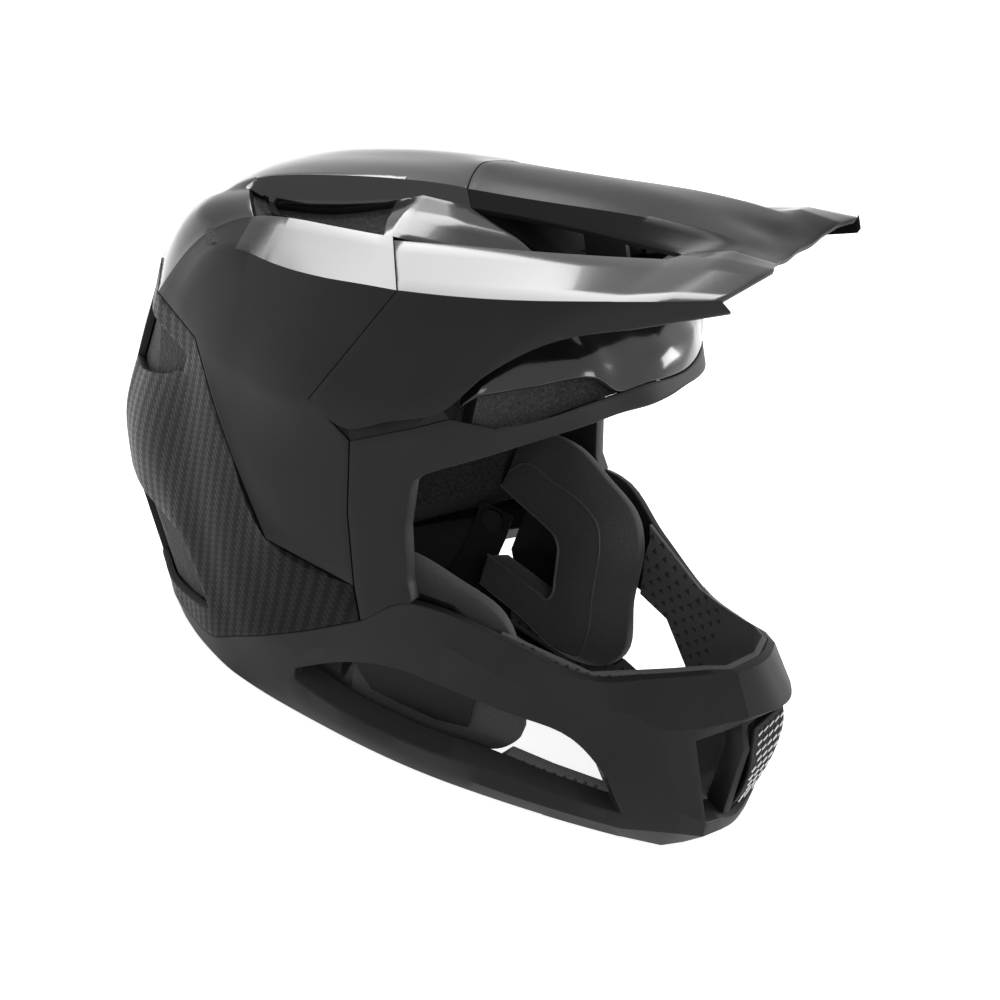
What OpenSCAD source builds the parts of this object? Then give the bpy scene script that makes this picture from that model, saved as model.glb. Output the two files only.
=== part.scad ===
// Downhill bike full face helmet, standing on its lower ring with the face towards -Y.
// The rider's right side is -X. Shell pieces are nets of points, given as shares of
// the overall sizes and thickened towards one point inside the head cavity.

/* [Shell] */
// Width of the shell over the visor wings
shell_w = 230; // [210:1:260]
// Length of the shell from the chin to the back
shell_l = 350; // [320:1:390]
// Height from the ground to the visor ridge
helmet_h = 288; // [265:1:315]
// Wall of the crown, rear shell and brow panel
shell_t = 3.5; // [2.5:0.1:5]
// Wall of the chin bar and the lower ring
chin_t = 12; // [8:0.5:15]
// Wall of the chin bar and the lower ring at their upper rim
rim_t = 4; // [3:0.5:8]
// Wall of the eyeport frame
frame_t = 9; // [6:0.5:12]
// Width of the flat ground face of the lower ring
land_w = 7; // [4:0.5:10]
// Gap between neighbouring shell pieces, along each axis
seam = 0.3; // [0.2:0.05:0.5]

/* [Head cavity] */
// Width of the padded head cavity
head_w = 158; // [145:1:170]
// Length of the padded head cavity
head_l = 200; // [185:1:210]
// Height of the padded head cavity
head_h = 212; // [200:1:222]
// Backward lean of the head in the standing helmet
head_lean = 19; // [15:1:23]
// Thickness of the comfort pads
pad_t = 7; // [5:0.5:9]
// Largest thickness of the foam
foam_t = 34; // [28:1:40]
// Air between the foam and the shells
foam_gap = 0.8; // [0.6:0.1:0.9]
// Thickness of the padded liner inside the chin bar
liner_t = 6; // [4:0.5:8]
// Thickness of the liner at the rim
liner_rim_t = 2.5; // [2:0.5:4]

/* [Visor] */
// Wall of the visor
visor_t = 3; // [2.5:0.1:4]
// Slope of the visor, and of the way it breaks off
visor_slope = 16.4; // [14:0.1:19]
// Diameter of the thumb screw head
knob_d = 28; // [22:1:32]
// Height of the thumb screw head
knob_h = 7; // [5:0.5:9]
// Diameter of the thumb screw shank
screw_d = 6; // [4:0.5:8]
// Thickness of the visor tongue under the thumb screw
tongue_t = 3; // [2:0.5:4]
// Width of the visor tongue
tongue_w = 46; // [38:1:50]
// Length of the visor tongue
tongue_l = 36; // [30:1:44]

/* [Chin vent] */
// Wall of the mouth vent surround
vent_t = 2.5; // [1.5:0.5:4]
// Depth of the mouth vent surround
vent_depth = 12; // [10:0.5:14]
// Thickness of the mouth vent mesh
mesh_t = 2; // [1.2:0.2:3]
// Spacing of the mesh slots
mesh_pitch = 7; // [5:0.5:10]

/* [Cheek pads] */
// Length of a cheek pad, front to back
cheek_l = 100; // [92:1:108]
// Height of a cheek pad
cheek_h = 90; // [82:1:96]
// Thickness of the cheek pad foam
cheek_t = 18; // [14:1:20]
// Thickness of the cheek pad carrier plate
plate_t = 2; // [1.5:0.5:3]
// Diameter of the cheek pad snap studs
stud_d = 8; // [6:0.5:10]
// Length of the snap studs
stud_l = 5; // [4:0.5:6]
// Running clearance of studs and screws, on the radius
fit = 0.05; // [0.02:0.01:0.1]

/* [Strap] */
// Width of the chin strap webbing
strap_w = 18; // [14:1:22]
// Thickness of the webbing
strap_t = 1.6; // [1.2:0.1:2]

/* [Hidden] */
// Half of the shell's width and length
half_w = shell_w / 2;
half_l = shell_l / 2;
// Overrun of cuts
over = 1;
// Gap at which soft pieces sit on their seats
seat = 0.3;
// Gap between the comfort pads and the thinnest foam
pad_gap = 0.3;
// Point that the walls are thickened towards
core_shares = [0, 0.17, 0.38];
// Rows and columns of the crown net that are sharp, open or under the visor
crown_corners = [1, 2, 5, 6];
crown_seam_row = 2;
crown_wing_cols = [5, 7];
crown_vent_cols = [3, 5];
crown_vent_rows = [3, 5];
crown_slot_rows = [6, 7];
// Rows of the rear net that are sharp, and its vents
rear_corners = [1, 2, 4, 5];
rear_vent_cols = [3, 7];
rear_vent_rows = [1, 4];
// Shares down the ring from its seam to the ground
ring_row_shares = [0, 0.2, 0.45, 0.65, 0.85, 1];
// Row of the openings in the ring, cells of the side window, and the first cells of mouth and liner,
// the liner behind its corner at the rim
window_row = 2;
window_cells = [10, 16];
mouth_cell = 18;
liner_cell = 11;
rim_liner_cell = 13;
// Columns of the frame's seam under the side rails, and the upper edge of the rails
rail_cols = [7, 8, 9];
rail_shares = [[0.925, -0.05, 0.645], [0.935, 0.045, 0.61], [0.94, 0.19, 0.57]];
// Depth of the rails under the visor's wing
rail_set = 1;
// Rows of the front foam ahead of the crown's side flange
foam_seam_row = 4;
// Points of the front foam that are sunk under the crown vents, and their depth
sunk_cols = [4, 5];
sunk_rows = [5, 14];
vent_sink_t = 9;
// Cells of the comfort pads; the crown pad has a slot on each side with a bridge over it
crown_pad_rows = [4, 16];
crown_pad_col = 6;
crown_pad_slot = 3;
crown_pad_bridge = [8, 10];
brow_pad_row = 1;
brow_pad_col = 6;
nape_pad_rows = [0, 10];
nape_pad_col = 9;
// Steps between the visor's rows, the middle of its inside, and the rows over which its walls turn
visor_steps = 2;
visor_core_shares = [0, 0.06, 0.68];
visor_turn_rows = 5;
// Column and number of rows of the visor's window on each side
window_col = 3;
window_rows = 5;
// Place of the thumb screw on the visor's middle line
knob_shares = [0, -0.18, 0.855];
// Share of the tongue ahead of the screw
tongue_front_share = 0.55;
// Ears of the tongue: lean outwards, height and length
ear_lean = 6.4;
ear_rise = 13;
ear_l = 20;
// Gap between the shank and the tongue's slot
slot_gap = 0.4;
// Finger grips round the thumb screw
knob_grips = 8;
grip_d = 6;
// Length of the shank below the head
shank_l = 12;
// Deck under the visor: its edges as shares from the brow to the crown, its columns, wall and gap to the foam
deck_row_shares = [0.04, 0.74];
deck_cols = 2;
deck_t = 3;
deck_gap = 0.6;
// Height of the end of the boss over the top of its deck
boss_rise = 0.5;
// Diameter of the boss
boss_d = 12;
// Width of the surround, and how far it stands forward of the opening's top edge
mouth_w = 40;
vent_lead = 5;
// Outline of the surround: share of half the width, share of the height
vent_shares = [[-0.9, 1], [-1, 0.8], [-0.5, 0], [0.5, 0], [1, 0.8], [0.9, 1]];
// Depth of the mesh behind the front of the surround at its ends, and its forward bow
mesh_set = 2;
mesh_bow = 4;
// Slots and bars of the mesh, as shares of its spacing
mesh_slot_share = 0.35;
mesh_bar_share = 0.6;
mesh_rim_share = 0.2;
// Place of a cheek pad's frame, its toe in towards the front and its lean
cheek_shares = [0.695, -0.1625, 0.203];
cheek_toe = 14;
cheek_roll = 11;
// Stations along the C of a cheek pad: outline, edge of the face and edge of the ear recess
cushion_shares = [
  [[0.46, 0.31], [0.38, 0.22], [0.38, 0.135]],
  [[0.36, 0.465], [0.32, 0.31], [0.24, 0.115]],
  [[0.2, 0.51], [0.145, 0.31], [0.08, 0.095]],
  [[-0.06, 0.455], [-0.05, 0.305], [-0.015, 0.07]],
  [[-0.3, 0.36], [-0.2, 0.24], [-0.06, 0.02]],
  [[-0.365, 0.28], [-0.235, 0.185], [-0.075, -0.02]],
  [[-0.46, -0.03], [-0.32, -0.065], [-0.11, -0.12]],
  [[-0.55, -0.3], [-0.405, -0.335], [-0.135, -0.2]],
  [[-0.49, -0.41], [-0.405, -0.405], [-0.125, -0.24]],
  [[-0.35, -0.48], [-0.34, -0.435], [-0.05, -0.24]],
  [[0, -0.46], [0, -0.41], [0.1, -0.235]],
  [[0.31, -0.43], [0.26, -0.395], [0.28, -0.23]]
];
// Depth of the outline and of the face's edge, as shares of the cushion's thickness
cushion_side_share = 0.35;
cushion_edge_share = 0.93;
// Depth of the room for a pad, inwards from its carrier
pad_room_t = 30;
// Outline of the carrier plate, and places of its studs
plate_shares = [[-0.31, -0.34], [-0.16, -0.37], [0.16, -0.34], [0.28, -0.2], [0.31, 0.2], [0.23, 0.33],
  [-0.08, 0.34], [-0.28, 0.22]];
stud_shares = [[0.16, 0.05], [-0.04, 0.13], [-0.23, 0.1]];
// Cups that hold the studs
socket_d = 12;
socket_l = 7;
// Middle line of the chin strap from the rivet to the buckle: share of half the width, share of the height
strap_shares = [[0.7235, 0.195], [0.7235, 0.15], [0.68, 0.098], [0.57, 0.05], [0.35, 0.023], [0.13, 0.022]];
strap_steps = 3;
strap_corners = [1];
// Place of the strap along the helmet, and of the outer end of its rivet
strap_y_share = 0.08;
anchor_shares = [0.7425, 0.08, 0.175];
// Rivet and its heads
rivet_d = 5;
rivet_head_d = 11;
rivet_head_t = 1.5;
// Ends of the buckle housing and of its pocket, as shares of half the width
housing_shares = [-0.17, 0.12];
pocket_x_share = -0.11;
// Width, thickness and wall of the buckle, and length of the plug's head
buckle_w = 25;
buckle_t = 7.5;
wall_t = 1.8;
plug_head_l = 9;
// Crown shell, front row to rear lip.
// Each row runs from the middle out to the frame seam, then down the flange.
crown_shares = [
  [[0, 0.27, 0.87], [0.13, 0.255, 0.865], [0.235, 0.23, 0.86], [0.27, 0.195, 0.84],
   [0.355, 0.03, 0.845], [0.45, -0.125, 0.835], [0.765, -0.07, 0.74], [0.905, -0.05, 0.645],
   [0.92, -0.085, 0.63]],
  [[0, 0.31, 0.86], [0.13, 0.295, 0.86], [0.245, 0.275, 0.855], [0.28, 0.25, 0.835],
   [0.4, 0.185, 0.83], [0.52, 0.08, 0.815], [0.785, 0.055, 0.745], [0.93, 0.045, 0.61],
   [0.95, -0.01, 0.595]],
  [[0, 0.355, 0.855], [0.14, 0.35, 0.85], [0.245, 0.33, 0.845], [0.285, 0.325, 0.825],
   [0.435, 0.32, 0.81], [0.59, 0.29, 0.795], [0.87, 0.165, 0.77], [0.965, 0.275, 0.56],
   [0.975, 0.135, 0.53], [0.955, 0.085, 0.415], [0.92, 0.015, 0.3]],
  [[0, 0.435, 0.835], [0.14, 0.425, 0.83], [0.26, 0.405, 0.825], [0.295, 0.385, 0.8],
   [0.45, 0.355, 0.795], [0.59, 0.315, 0.79], [0.86, 0.25, 0.755], [0.95, 0.345, 0.54],
   [0.955, 0.24, 0.47], [0.94, 0.205, 0.38], [0.92, 0.085, 0.3]],
  [[0, 0.575, 0.79], [0.14, 0.575, 0.79], [0.26, 0.575, 0.78], [0.295, 0.56, 0.735],
   [0.45, 0.515, 0.745], [0.585, 0.45, 0.765], [0.815, 0.39, 0.72], [0.88, 0.445, 0.53],
   [0.915, 0.345, 0.455], [0.93, 0.275, 0.375], [0.92, 0.155, 0.3]],
  [[0, 0.745, 0.74], [0.14, 0.74, 0.74], [0.26, 0.73, 0.735], [0.295, 0.71, 0.7],
   [0.435, 0.64, 0.715], [0.555, 0.56, 0.74], [0.75, 0.525, 0.69], [0.81, 0.535, 0.515],
   [0.86, 0.435, 0.45], [0.905, 0.345, 0.375], [0.92, 0.2, 0.3]],
  [[0, 0.765, 0.735], [0.14, 0.76, 0.735], [0.26, 0.75, 0.735], [0.295, 0.725, 0.7],
   [0.435, 0.665, 0.71], [0.54, 0.59, 0.735], [0.72, 0.56, 0.685], [0.79, 0.555, 0.515],
   [0.85, 0.45, 0.445], [0.895, 0.355, 0.375], [0.92, 0.21, 0.3]],
  [[0, 0.845, 0.71], [0.14, 0.835, 0.71], [0.27, 0.8, 0.715], [0.305, 0.785, 0.705],
   [0.4, 0.75, 0.71], [0.495, 0.685, 0.71], [0.66, 0.65, 0.665], [0.75, 0.61, 0.51],
   [0.825, 0.495, 0.445], [0.88, 0.39, 0.38], [0.92, 0.24, 0.3]],
  [[0, 0.95, 0.645], [0.14, 0.935, 0.65], [0.235, 0.92, 0.65], [0.285, 0.905, 0.65],
   [0.385, 0.875, 0.65], [0.47, 0.84, 0.65], [0.575, 0.785, 0.65], [0.705, 0.665, 0.505],
   [0.79, 0.545, 0.445], [0.86, 0.43, 0.38], [0.92, 0.265, 0.3]],
  [[0, 1, 0.52], [0.105, 1, 0.52], [0.19, 0.995, 0.515], [0.245, 0.985, 0.515],
   [0.315, 0.955, 0.505], [0.435, 0.91, 0.495], [0.555, 0.81, 0.5], [0.66, 0.705, 0.5],
   [0.765, 0.585, 0.445], [0.85, 0.455, 0.385], [0.92, 0.28, 0.3]]
];
// Rear shell below the crown, row by row down to the ring, from the middle out to the frame seam
rear_shares = [
  [[0, 1, 0.455], [0.105, 0.995, 0.455], [0.19, 0.99, 0.455], [0.245, 0.975, 0.455],
   [0.32, 0.95, 0.455], [0.425, 0.905, 0.455], [0.52, 0.815, 0.455], [0.61, 0.725, 0.455],
   [0.73, 0.595, 0.395], [0.825, 0.465, 0.345], [0.905, 0.275, 0.285]],
  [[0, 0.99, 0.34], [0.105, 0.985, 0.34], [0.19, 0.985, 0.34], [0.245, 0.97, 0.34],
   [0.32, 0.93, 0.34], [0.425, 0.87, 0.36], [0.52, 0.795, 0.39], [0.6, 0.725, 0.425],
   [0.72, 0.6, 0.36], [0.81, 0.455, 0.305], [0.895, 0.27, 0.275]],
  [[0, 0.975, 0.265], [0.105, 0.975, 0.26], [0.19, 0.97, 0.26], [0.245, 0.96, 0.255],
   [0.33, 0.915, 0.245], [0.435, 0.85, 0.245], [0.54, 0.76, 0.25], [0.635, 0.65, 0.26],
   [0.73, 0.55, 0.255], [0.8, 0.445, 0.25], [0.885, 0.25, 0.255]],
  [[0, 0.93, 0.175], [0.085, 0.93, 0.175], [0.175, 0.92, 0.17], [0.26, 0.895, 0.17],
   [0.35, 0.845, 0.165], [0.435, 0.785, 0.165], [0.54, 0.685, 0.17], [0.645, 0.59, 0.175],
   [0.72, 0.485, 0.19], [0.785, 0.4, 0.2], [0.88, 0.215, 0.23]],
  [[0, 0.77, 0.05], [0.085, 0.77, 0.05], [0.175, 0.755, 0.045], [0.26, 0.73, 0.045],
   [0.35, 0.685, 0.045], [0.435, 0.635, 0.045], [0.565, 0.535, 0.06], [0.685, 0.43, 0.085],
   [0.73, 0.375, 0.105], [0.775, 0.32, 0.13], [0.85, 0.17, 0.19]],
  [[0, 0.71, 0.02], [0.085, 0.705, 0.02], [0.175, 0.69, 0.02], [0.26, 0.675, 0.025],
   [0.35, 0.645, 0.025], [0.415, 0.625, 0.025], [0.55, 0.515, 0.03], [0.66, 0.405, 0.04],
   [0.73, 0.33, 0.075], [0.785, 0.265, 0.105], [0.86, 0.105, 0.18]]
];
// Ground edge of the lower ring under each point of its upper seam
ring_ground_shares = [
  [[0, 0.685, 0], [0.085, 0.685, 0], [0.175, 0.675, 0], [0.26, 0.65, 0],
   [0.34, 0.615, 0], [0.41, 0.585, 0], [0.52, 0.505, 0], [0.615, 0.4, 0],
   [0.66, 0.33, 0], [0.68, 0.265, 0]]
];
// Brow panel, lower edge to the hidden upper edge
brow_shares = [
  [[0, -0.43, 0.71], [0.14, -0.42, 0.71], [0.26, -0.4, 0.71], [0.39, -0.37, 0.7],
   [0.52, -0.32, 0.725], [0.715, -0.215, 0.7], [0.86, -0.125, 0.675], [0.895, -0.095, 0.65]],
  [[0, -0.39, 0.75], [0.14, -0.385, 0.75], [0.26, -0.36, 0.745], [0.39, -0.33, 0.745],
   [0.52, -0.29, 0.755], [0.695, -0.2, 0.72], [0.845, -0.12, 0.69], [0.885, -0.09, 0.655]],
  [[0, -0.24, 0.8], [0.14, -0.235, 0.8], [0.26, -0.23, 0.8], [0.39, -0.215, 0.79],
   [0.505, -0.205, 0.78], [0.67, -0.165, 0.745], [0.815, -0.11, 0.7], [0.87, -0.085, 0.665]]
];
// Eyeport frame from the middle of the brow to the foot of the pillar: outer seam, then opening edge
frame_shares = [
  [[0, -0.43, 0.71], [0.14, -0.42, 0.71], [0.26, -0.4, 0.71], [0.39, -0.37, 0.7],
   [0.52, -0.33, 0.685], [0.65, -0.275, 0.66], [0.81, -0.185, 0.63], [0.92, -0.085, 0.63],
   [0.95, -0.01, 0.595], [0.975, 0.135, 0.53], [0.955, 0.085, 0.415], [0.92, 0.015, 0.3],
   [0.915, -0.03, 0.25]],
  [[0, -0.45, 0.69], [0.14, -0.445, 0.685], [0.26, -0.43, 0.68], [0.4, -0.39, 0.67],
   [0.52, -0.345, 0.65], [0.65, -0.275, 0.62], [0.8, -0.175, 0.575], [0.895, -0.095, 0.54],
   [0.92, -0.065, 0.525], [0.93, -0.045, 0.505], [0.92, -0.065, 0.43], [0.905, -0.115, 0.345],
   [0.915, -0.145, 0.32]]
];
// Chin bar stations from the ring forward: rim, crease, window top, window bottom, lower crease, ground edge
chin_shares = [
  [[0.86, 0.105, 0.18], [0.85, 0.11, 0.14], [0.805, 0.12, 0.095], [0.8, 0.115, 0.075],
   [0.755, 0.09, 0.035], [0.695, 0.07, 0]],
  [[0.915, -0.03, 0.25], [0.885, -0.055, 0.215], [0.835, -0.08, 0.175], [0.775, -0.07, 0.06],
   [0.74, -0.105, 0.03], [0.68, -0.125, 0]],
  [[0.915, -0.145, 0.32], [0.88, -0.16, 0.26], [0.825, -0.175, 0.19], [0.755, -0.185, 0.06],
   [0.715, -0.205, 0.03], [0.66, -0.215, 0]],
  [[0.895, -0.195, 0.325], [0.87, -0.24, 0.27], [0.8, -0.25, 0.19], [0.73, -0.265, 0.06],
   [0.685, -0.285, 0.03], [0.635, -0.29, 0]],
  [[0.72, -0.4, 0.3], [0.75, -0.415, 0.245], [0.72, -0.425, 0.185], [0.65, -0.435, 0.065],
   [0.625, -0.44, 0.03], [0.565, -0.435, 0]],
  [[0.55, -0.61, 0.275], [0.59, -0.63, 0.24], [0.61, -0.605, 0.175], [0.53, -0.64, 0.06],
   [0.505, -0.645, 0.03], [0.435, -0.645, 0]],
  [[0.435, -0.695, 0.29], [0.515, -0.72, 0.245], [0.53, -0.715, 0.125], [0.445, -0.77, 0.06],
   [0.41, -0.775, 0.03], [0.34, -0.77, 0]],
  [[0.34, -0.77, 0.305], [0.47, -0.785, 0.23], [0.425, -0.84, 0.165], [0.365, -0.895, 0.095],
   [0.32, -0.905, 0.05], [0.25, -0.865, 0]],
  [[0.26, -0.835, 0.32], [0.35, -0.875, 0.245], [0.355, -0.87, 0.22], [0.27, -0.96, 0.08],
   [0.245, -0.96, 0.05], [0.19, -0.905, 0.01]],
  [[0.19, -0.88, 0.325], [0.215, -0.955, 0.27], [0.225, -0.93, 0.245], [0.165, -0.975, 0.075],
   [0.15, -0.975, 0.05], [0.12, -0.93, 0.025]],
  [[0, -0.905, 0.33], [0, -1, 0.28], [0, -0.96, 0.255], [0, -0.985, 0.06],
   [0, -0.985, 0.045], [0, -0.95, 0.03]]
];
// Visor from the rear seam to the front lip: spine, spine wall, wing top edge, crest and lower edge
visor_shares = [
  [[0, 0.27, 0.87], [0.13, 0.255, 0.865], [0.235, 0.23, 0.86], [0.27, 0.195, 0.84],
   [0.615, 0.28, 0.795], [0.87, 0.165, 0.77], [0.965, 0.275, 0.56]],
  [[0, 0.115, 0.895], [0.13, 0.105, 0.895], [0.235, 0.085, 0.885], [0.27, 0.065, 0.865],
   [0.6, 0.115, 0.835], [0.88, 0.035, 0.8], [1, 0.155, 0.55]],
  [[0, -0.01, 0.92], [0.13, -0.015, 0.915], [0.235, -0.035, 0.91], [0.28, -0.055, 0.885],
   [0.565, -0.01, 0.86], [0.87, -0.07, 0.825], [1, 0.045, 0.595]],
  [[0, -0.125, 0.94], [0.13, -0.13, 0.935], [0.235, -0.15, 0.93], [0.285, -0.165, 0.9],
   [0.54, -0.115, 0.88], [0.85, -0.17, 0.85], [0.975, -0.065, 0.64]],
  [[0, -0.25, 0.96], [0.13, -0.255, 0.955], [0.235, -0.275, 0.95], [0.315, -0.285, 0.92],
   [0.485, -0.25, 0.91], [0.825, -0.265, 0.875], [0.92, -0.135, 0.72]],
  [[0, -0.375, 0.975], [0.13, -0.39, 0.975], [0.235, -0.405, 0.975], [0.35, -0.39, 0.94],
   [0.425, -0.37, 0.935], [0.8, -0.355, 0.9], [0.845, -0.235, 0.795]],
  [[0, -0.505, 0.975], [0.13, -0.505, 0.98], [0.235, -0.51, 0.98], [0.34, -0.505, 0.98],
   [0.435, -0.505, 0.975], [0.765, -0.455, 0.925], [0.755, -0.41, 0.865]],
  [[0, -0.6, 0.975], [0.13, -0.605, 0.975], [0.225, -0.605, 0.98], [0.33, -0.615, 0.99],
   [0.425, -0.635, 0.995], [0.695, -0.59, 0.96], [0.66, -0.615, 0.945]]
];

// Net points and smooth lines
function at(s) = [s[0] * half_w, s[1] * half_l, s[2] * helmet_h];
function net(rows) = [for (row = rows) [for (s = row) at(s)]];
function mix(a, b, share) = a * (1 - share) + b * share;
function unit(v) = v / norm(v);
function last(list) = list[len(list) - 1];
function column(rows, j) = [for (row = rows) row[j]];
function flipped(rows) = [for (j = [0:len(rows[0]) - 1]) column(rows, j)];
function mirrored(p) = [-p[0], p[1], p[2]];
function is_corner(i, corners) = len([for (c = corners) if (c == i) c]) > 0;

// Catmull-Rom curve through b and c
function curve_point(a, b, c, d, t) =
  (2 * b + (c - a) * t + (2 * a - 5 * b + 4 * c - d) * pow(t, 2) + (3 * b - a - 3 * c + d) * pow(t, 3)) / 2;
function smooth(line, steps, corners = []) =
  let (n = len(line) - 1)
  concat([for (i = [0:n - 1])
    let (b = line[i], c = line[i + 1])
    let (a = i == 0 || is_corner(i, corners) ? 2 * b - c : line[i - 1])
    let (d = i + 1 == n || is_corner(i + 1, corners) ? 2 * c - b : line[i + 2])
    each [for (s = [0:steps - 1]) curve_point(a, b, c, d, s / steps)]], [line[n]]);
function smooth_rows(rows, steps, corners = []) =
  flipped([for (line = flipped(rows)) smooth(line, steps, corners)]);
// Rows from the left side over the middle to the right side
function both_sides(rows) =
  [for (row = rows) concat([for (j = [len(row) - 1:-1:1]) mirrored(row[j])], row)];
// Short rows are filled up with their last point
function filled(row, n) = concat(row, [for (j = [len(row):1:n - 1]) last(row)]);

// Distances towards the core of the head cavity
core = at(core_shares);
head_back = [0, cos(head_lean), -sin(head_lean)];
head_up = [0, sin(head_lean), cos(head_lean)];
function inward(p, depth) = p + unit(core - p) * depth;
function head_radius(p) =
  let (d = unit(p - core))
  1 / norm([2 * d[0] / head_w, 2 * (d * head_back) / head_l, 2 * (d * head_up) / head_h]);
function foam_radius(p, depth) = max(head_radius(p) + pad_t + pad_gap, norm(p - core) - depth - foam_t);
function at_radius(p, r) = core + unit(p - core) * r;

// Closed shell between two nets of points; keep(i, j) says which cells are there
function cell_kept(i, j, n, m, wrap, keep) =
  i >= 0 && i < n - 1 && (wrap || (j >= 0 && j < m - 1)) && keep(i, wrap ? (j + m) % m : j);
function quad(a, b, c, d) = [[a, b, c], [a, c, d]];
function panel_faces(n, m, wrap, keep) =
  [for (i = [0:n - 2], j = [0:(wrap ? m - 1 : m - 2)])
    if (keep(i, j))
      let (k = wrap ? (j + 1) % m : j + 1, back = n * m)
      let (a = i * m + j, b = i * m + k, c = (i + 1) * m + k, d = (i + 1) * m + j)
      each concat(
        quad(a, d, c, b),
        quad(back + a, back + b, back + c, back + d),
        cell_kept(i - 1, j, n, m, wrap, keep) ? [] : quad(a, b, back + b, back + a),
        cell_kept(i, j + 1, n, m, wrap, keep) ? [] : quad(b, c, back + c, back + b),
        cell_kept(i + 1, j, n, m, wrap, keep) ? [] : quad(c, d, back + d, back + c),
        cell_kept(i, j - 1, n, m, wrap, keep) ? [] : quad(d, a, back + a, back + d))];
function turned(faces, turn) = turn ? [for (f = faces) [f[2], f[1], f[0]]] : faces;
module panel(outer, inner, keep, shift = [0, 0, 0], wrap = false, turn = false) {
  faces = panel_faces(len(outer), len(outer[0]), wrap, keep);
  points = concat([for (row = outer) each row], [for (row = inner) each row]);
  translate(shift) polyhedron(points = points, faces = turned(faces, turn));
}
function deeper(grid, depth) = [for (row = grid) [for (p = row) inward(p, depth)]];
function everywhere() = function (i, j) true;

// Crown shell net
crown_n = len(last(crown_shares));
crown_steps = 2;
crown_middle = crown_n - 1;
crown_half = [for (row = net(crown_shares)) filled(row, crown_n)];
crown_grid = both_sides(smooth_rows(crown_half, crown_steps, crown_corners));
// Column counted from the middle, for the cell right of column j
function half_cell(j, middle) = j >= middle ? j - middle : middle - 1 - j;
function inside(v, range) = v >= range[0] && v < range[1];
crown_keep = function (i, j)
  let (row = floor(i / crown_steps), col = half_cell(j, crown_middle))
  let (front = row < crown_seam_row)
  let (flange = col >= crown_wing_cols[1])
  let (wing = col >= crown_wing_cols[0] && col < crown_wing_cols[1])
  let (vent = col >= crown_vent_cols[0] && col < crown_vent_cols[1])
  let (vent_row = inside(row, crown_vent_rows) || inside(row, crown_slot_rows))
  !(front && (flange || wing)) && !(vent && vent_row);

module crown_shell() {
  color("#141416") panel(crown_grid, deeper(crown_grid, shell_t), crown_keep, [0, 0, 2 * seam]);
}

// Rear shell net; it starts on the rear edge of the crown
rear_steps = 2;
rear_top = concat([last(crown_shares)], rear_shares);
rear_front = [for (k = [0:len(rear_top) - 1])
  mix(at(frame_shares[0][len(frame_shares[0]) - 2]), at(last(frame_shares[0])), k / (len(rear_top) - 1))];
rear_half = [for (k = [0:len(rear_top) - 1]) concat(net(rear_top)[k], [rear_front[k]])];
rear_middle = len(rear_half[0]) - 1;
rear_grid = both_sides(smooth_rows(rear_half, rear_steps, rear_corners));
rear_keep = function (i, j)
  let (row = floor(i / rear_steps), col = half_cell(j, rear_middle))
  !(inside(col, rear_vent_cols) && (row == rear_vent_rows[0] || row == rear_vent_rows[1]));

module rear_shell() {
  color("#2a2b2e") panel(rear_grid, deeper(rear_grid, shell_t), rear_keep, [0, seam, seam]);
}

// Lower ring and chin bar net, right round from the middle of the back
ring_seam = [for (s = last(rear_shares)) at(s)];
ring_ground = [for (s = ring_ground_shares[0]) at(s)];
ring_plain = len(ring_ground);
ring_back = [for (k = [0:ring_plain - 1])
  [for (share = ring_row_shares) mix(ring_seam[k], ring_ground[k], share)]];
ring_half = concat(ring_back, net(chin_shares));
function ground_lip(p) = let (q = [core[0], core[1], p[2]]) p + unit(q - p) * land_w;
ring_stations = [for (st = ring_half) concat(st, [ground_lip(last(st))])];
ring_last = len(ring_stations) - 1;
ring_loop = concat(ring_stations,
  [for (k = [ring_last - 1:-1:1]) [for (p = ring_stations[k]) mirrored(p)]]);
ring_grid = flipped(ring_loop);
ring_count = len(ring_loop);
function ring_cell(j) = j < ring_last ? j : ring_count - 1 - j;
function ring_open(i, j) =
  i == window_row && (inside(ring_cell(j), window_cells) || ring_cell(j) >= mouth_cell);
ring_keep = function (i, j) !ring_open(i, j);

// Inside of the ring, thin at the rim and as deep as the wall below it
function ring_inside(depth, rim_depth) = [for (i = [0:len(ring_grid) - 1])
  [for (p = ring_grid[i]) inward(p, i == 0 ? rim_depth : depth)]];

module chin_bar() {
  color("#232426") difference() {
    panel(ring_grid, ring_inside(chin_t, rim_t), ring_keep, wrap = true);
    socket_bores(socket_l + seat);
  }
}

// Padded liner on the inside of the chin bar, from pillar to pillar
liner_keep = function (i, j)
  ring_cell(j) >= (i == 0 ? rim_liner_cell : liner_cell) && i < len(ring_grid) - 2 && !ring_open(i, j);
module chin_liner() {
  color("#55585c") difference() {
    panel(ring_inside(chin_t + seat, rim_t + seat),
      ring_inside(chin_t + seat + liner_t, rim_t + seat + liner_rim_t), liner_keep, wrap = true);
    socket_bores(socket_l + liner_t);
    pad_room(chin_t + liner_t);
  }
}

// Eyeport frame: brow rim and both pillars
frame_half = net(frame_shares);
frame_rows = [frame_half[0], [for (j = [0:len(frame_half[0]) - 1])
  mix(frame_half[0][j], frame_half[1][j], 1 / 2)], frame_half[1]];
frame_grid = both_sides(frame_rows);
module eyeport_frame() {
  color("#232426")
    panel(frame_grid, deeper(frame_grid, frame_t), everywhere(), [0, -seam, 2 * seam], turn = true);
}

// Gloss brow panel between the brow rim and the visor
brow_grid = both_sides(net(brow_shares));
module brow_panel() {
  color("#0e0e10")
    panel(brow_grid, deeper(brow_grid, shell_t), everywhere(), [0, 0, 2 * seam]);
}

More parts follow.
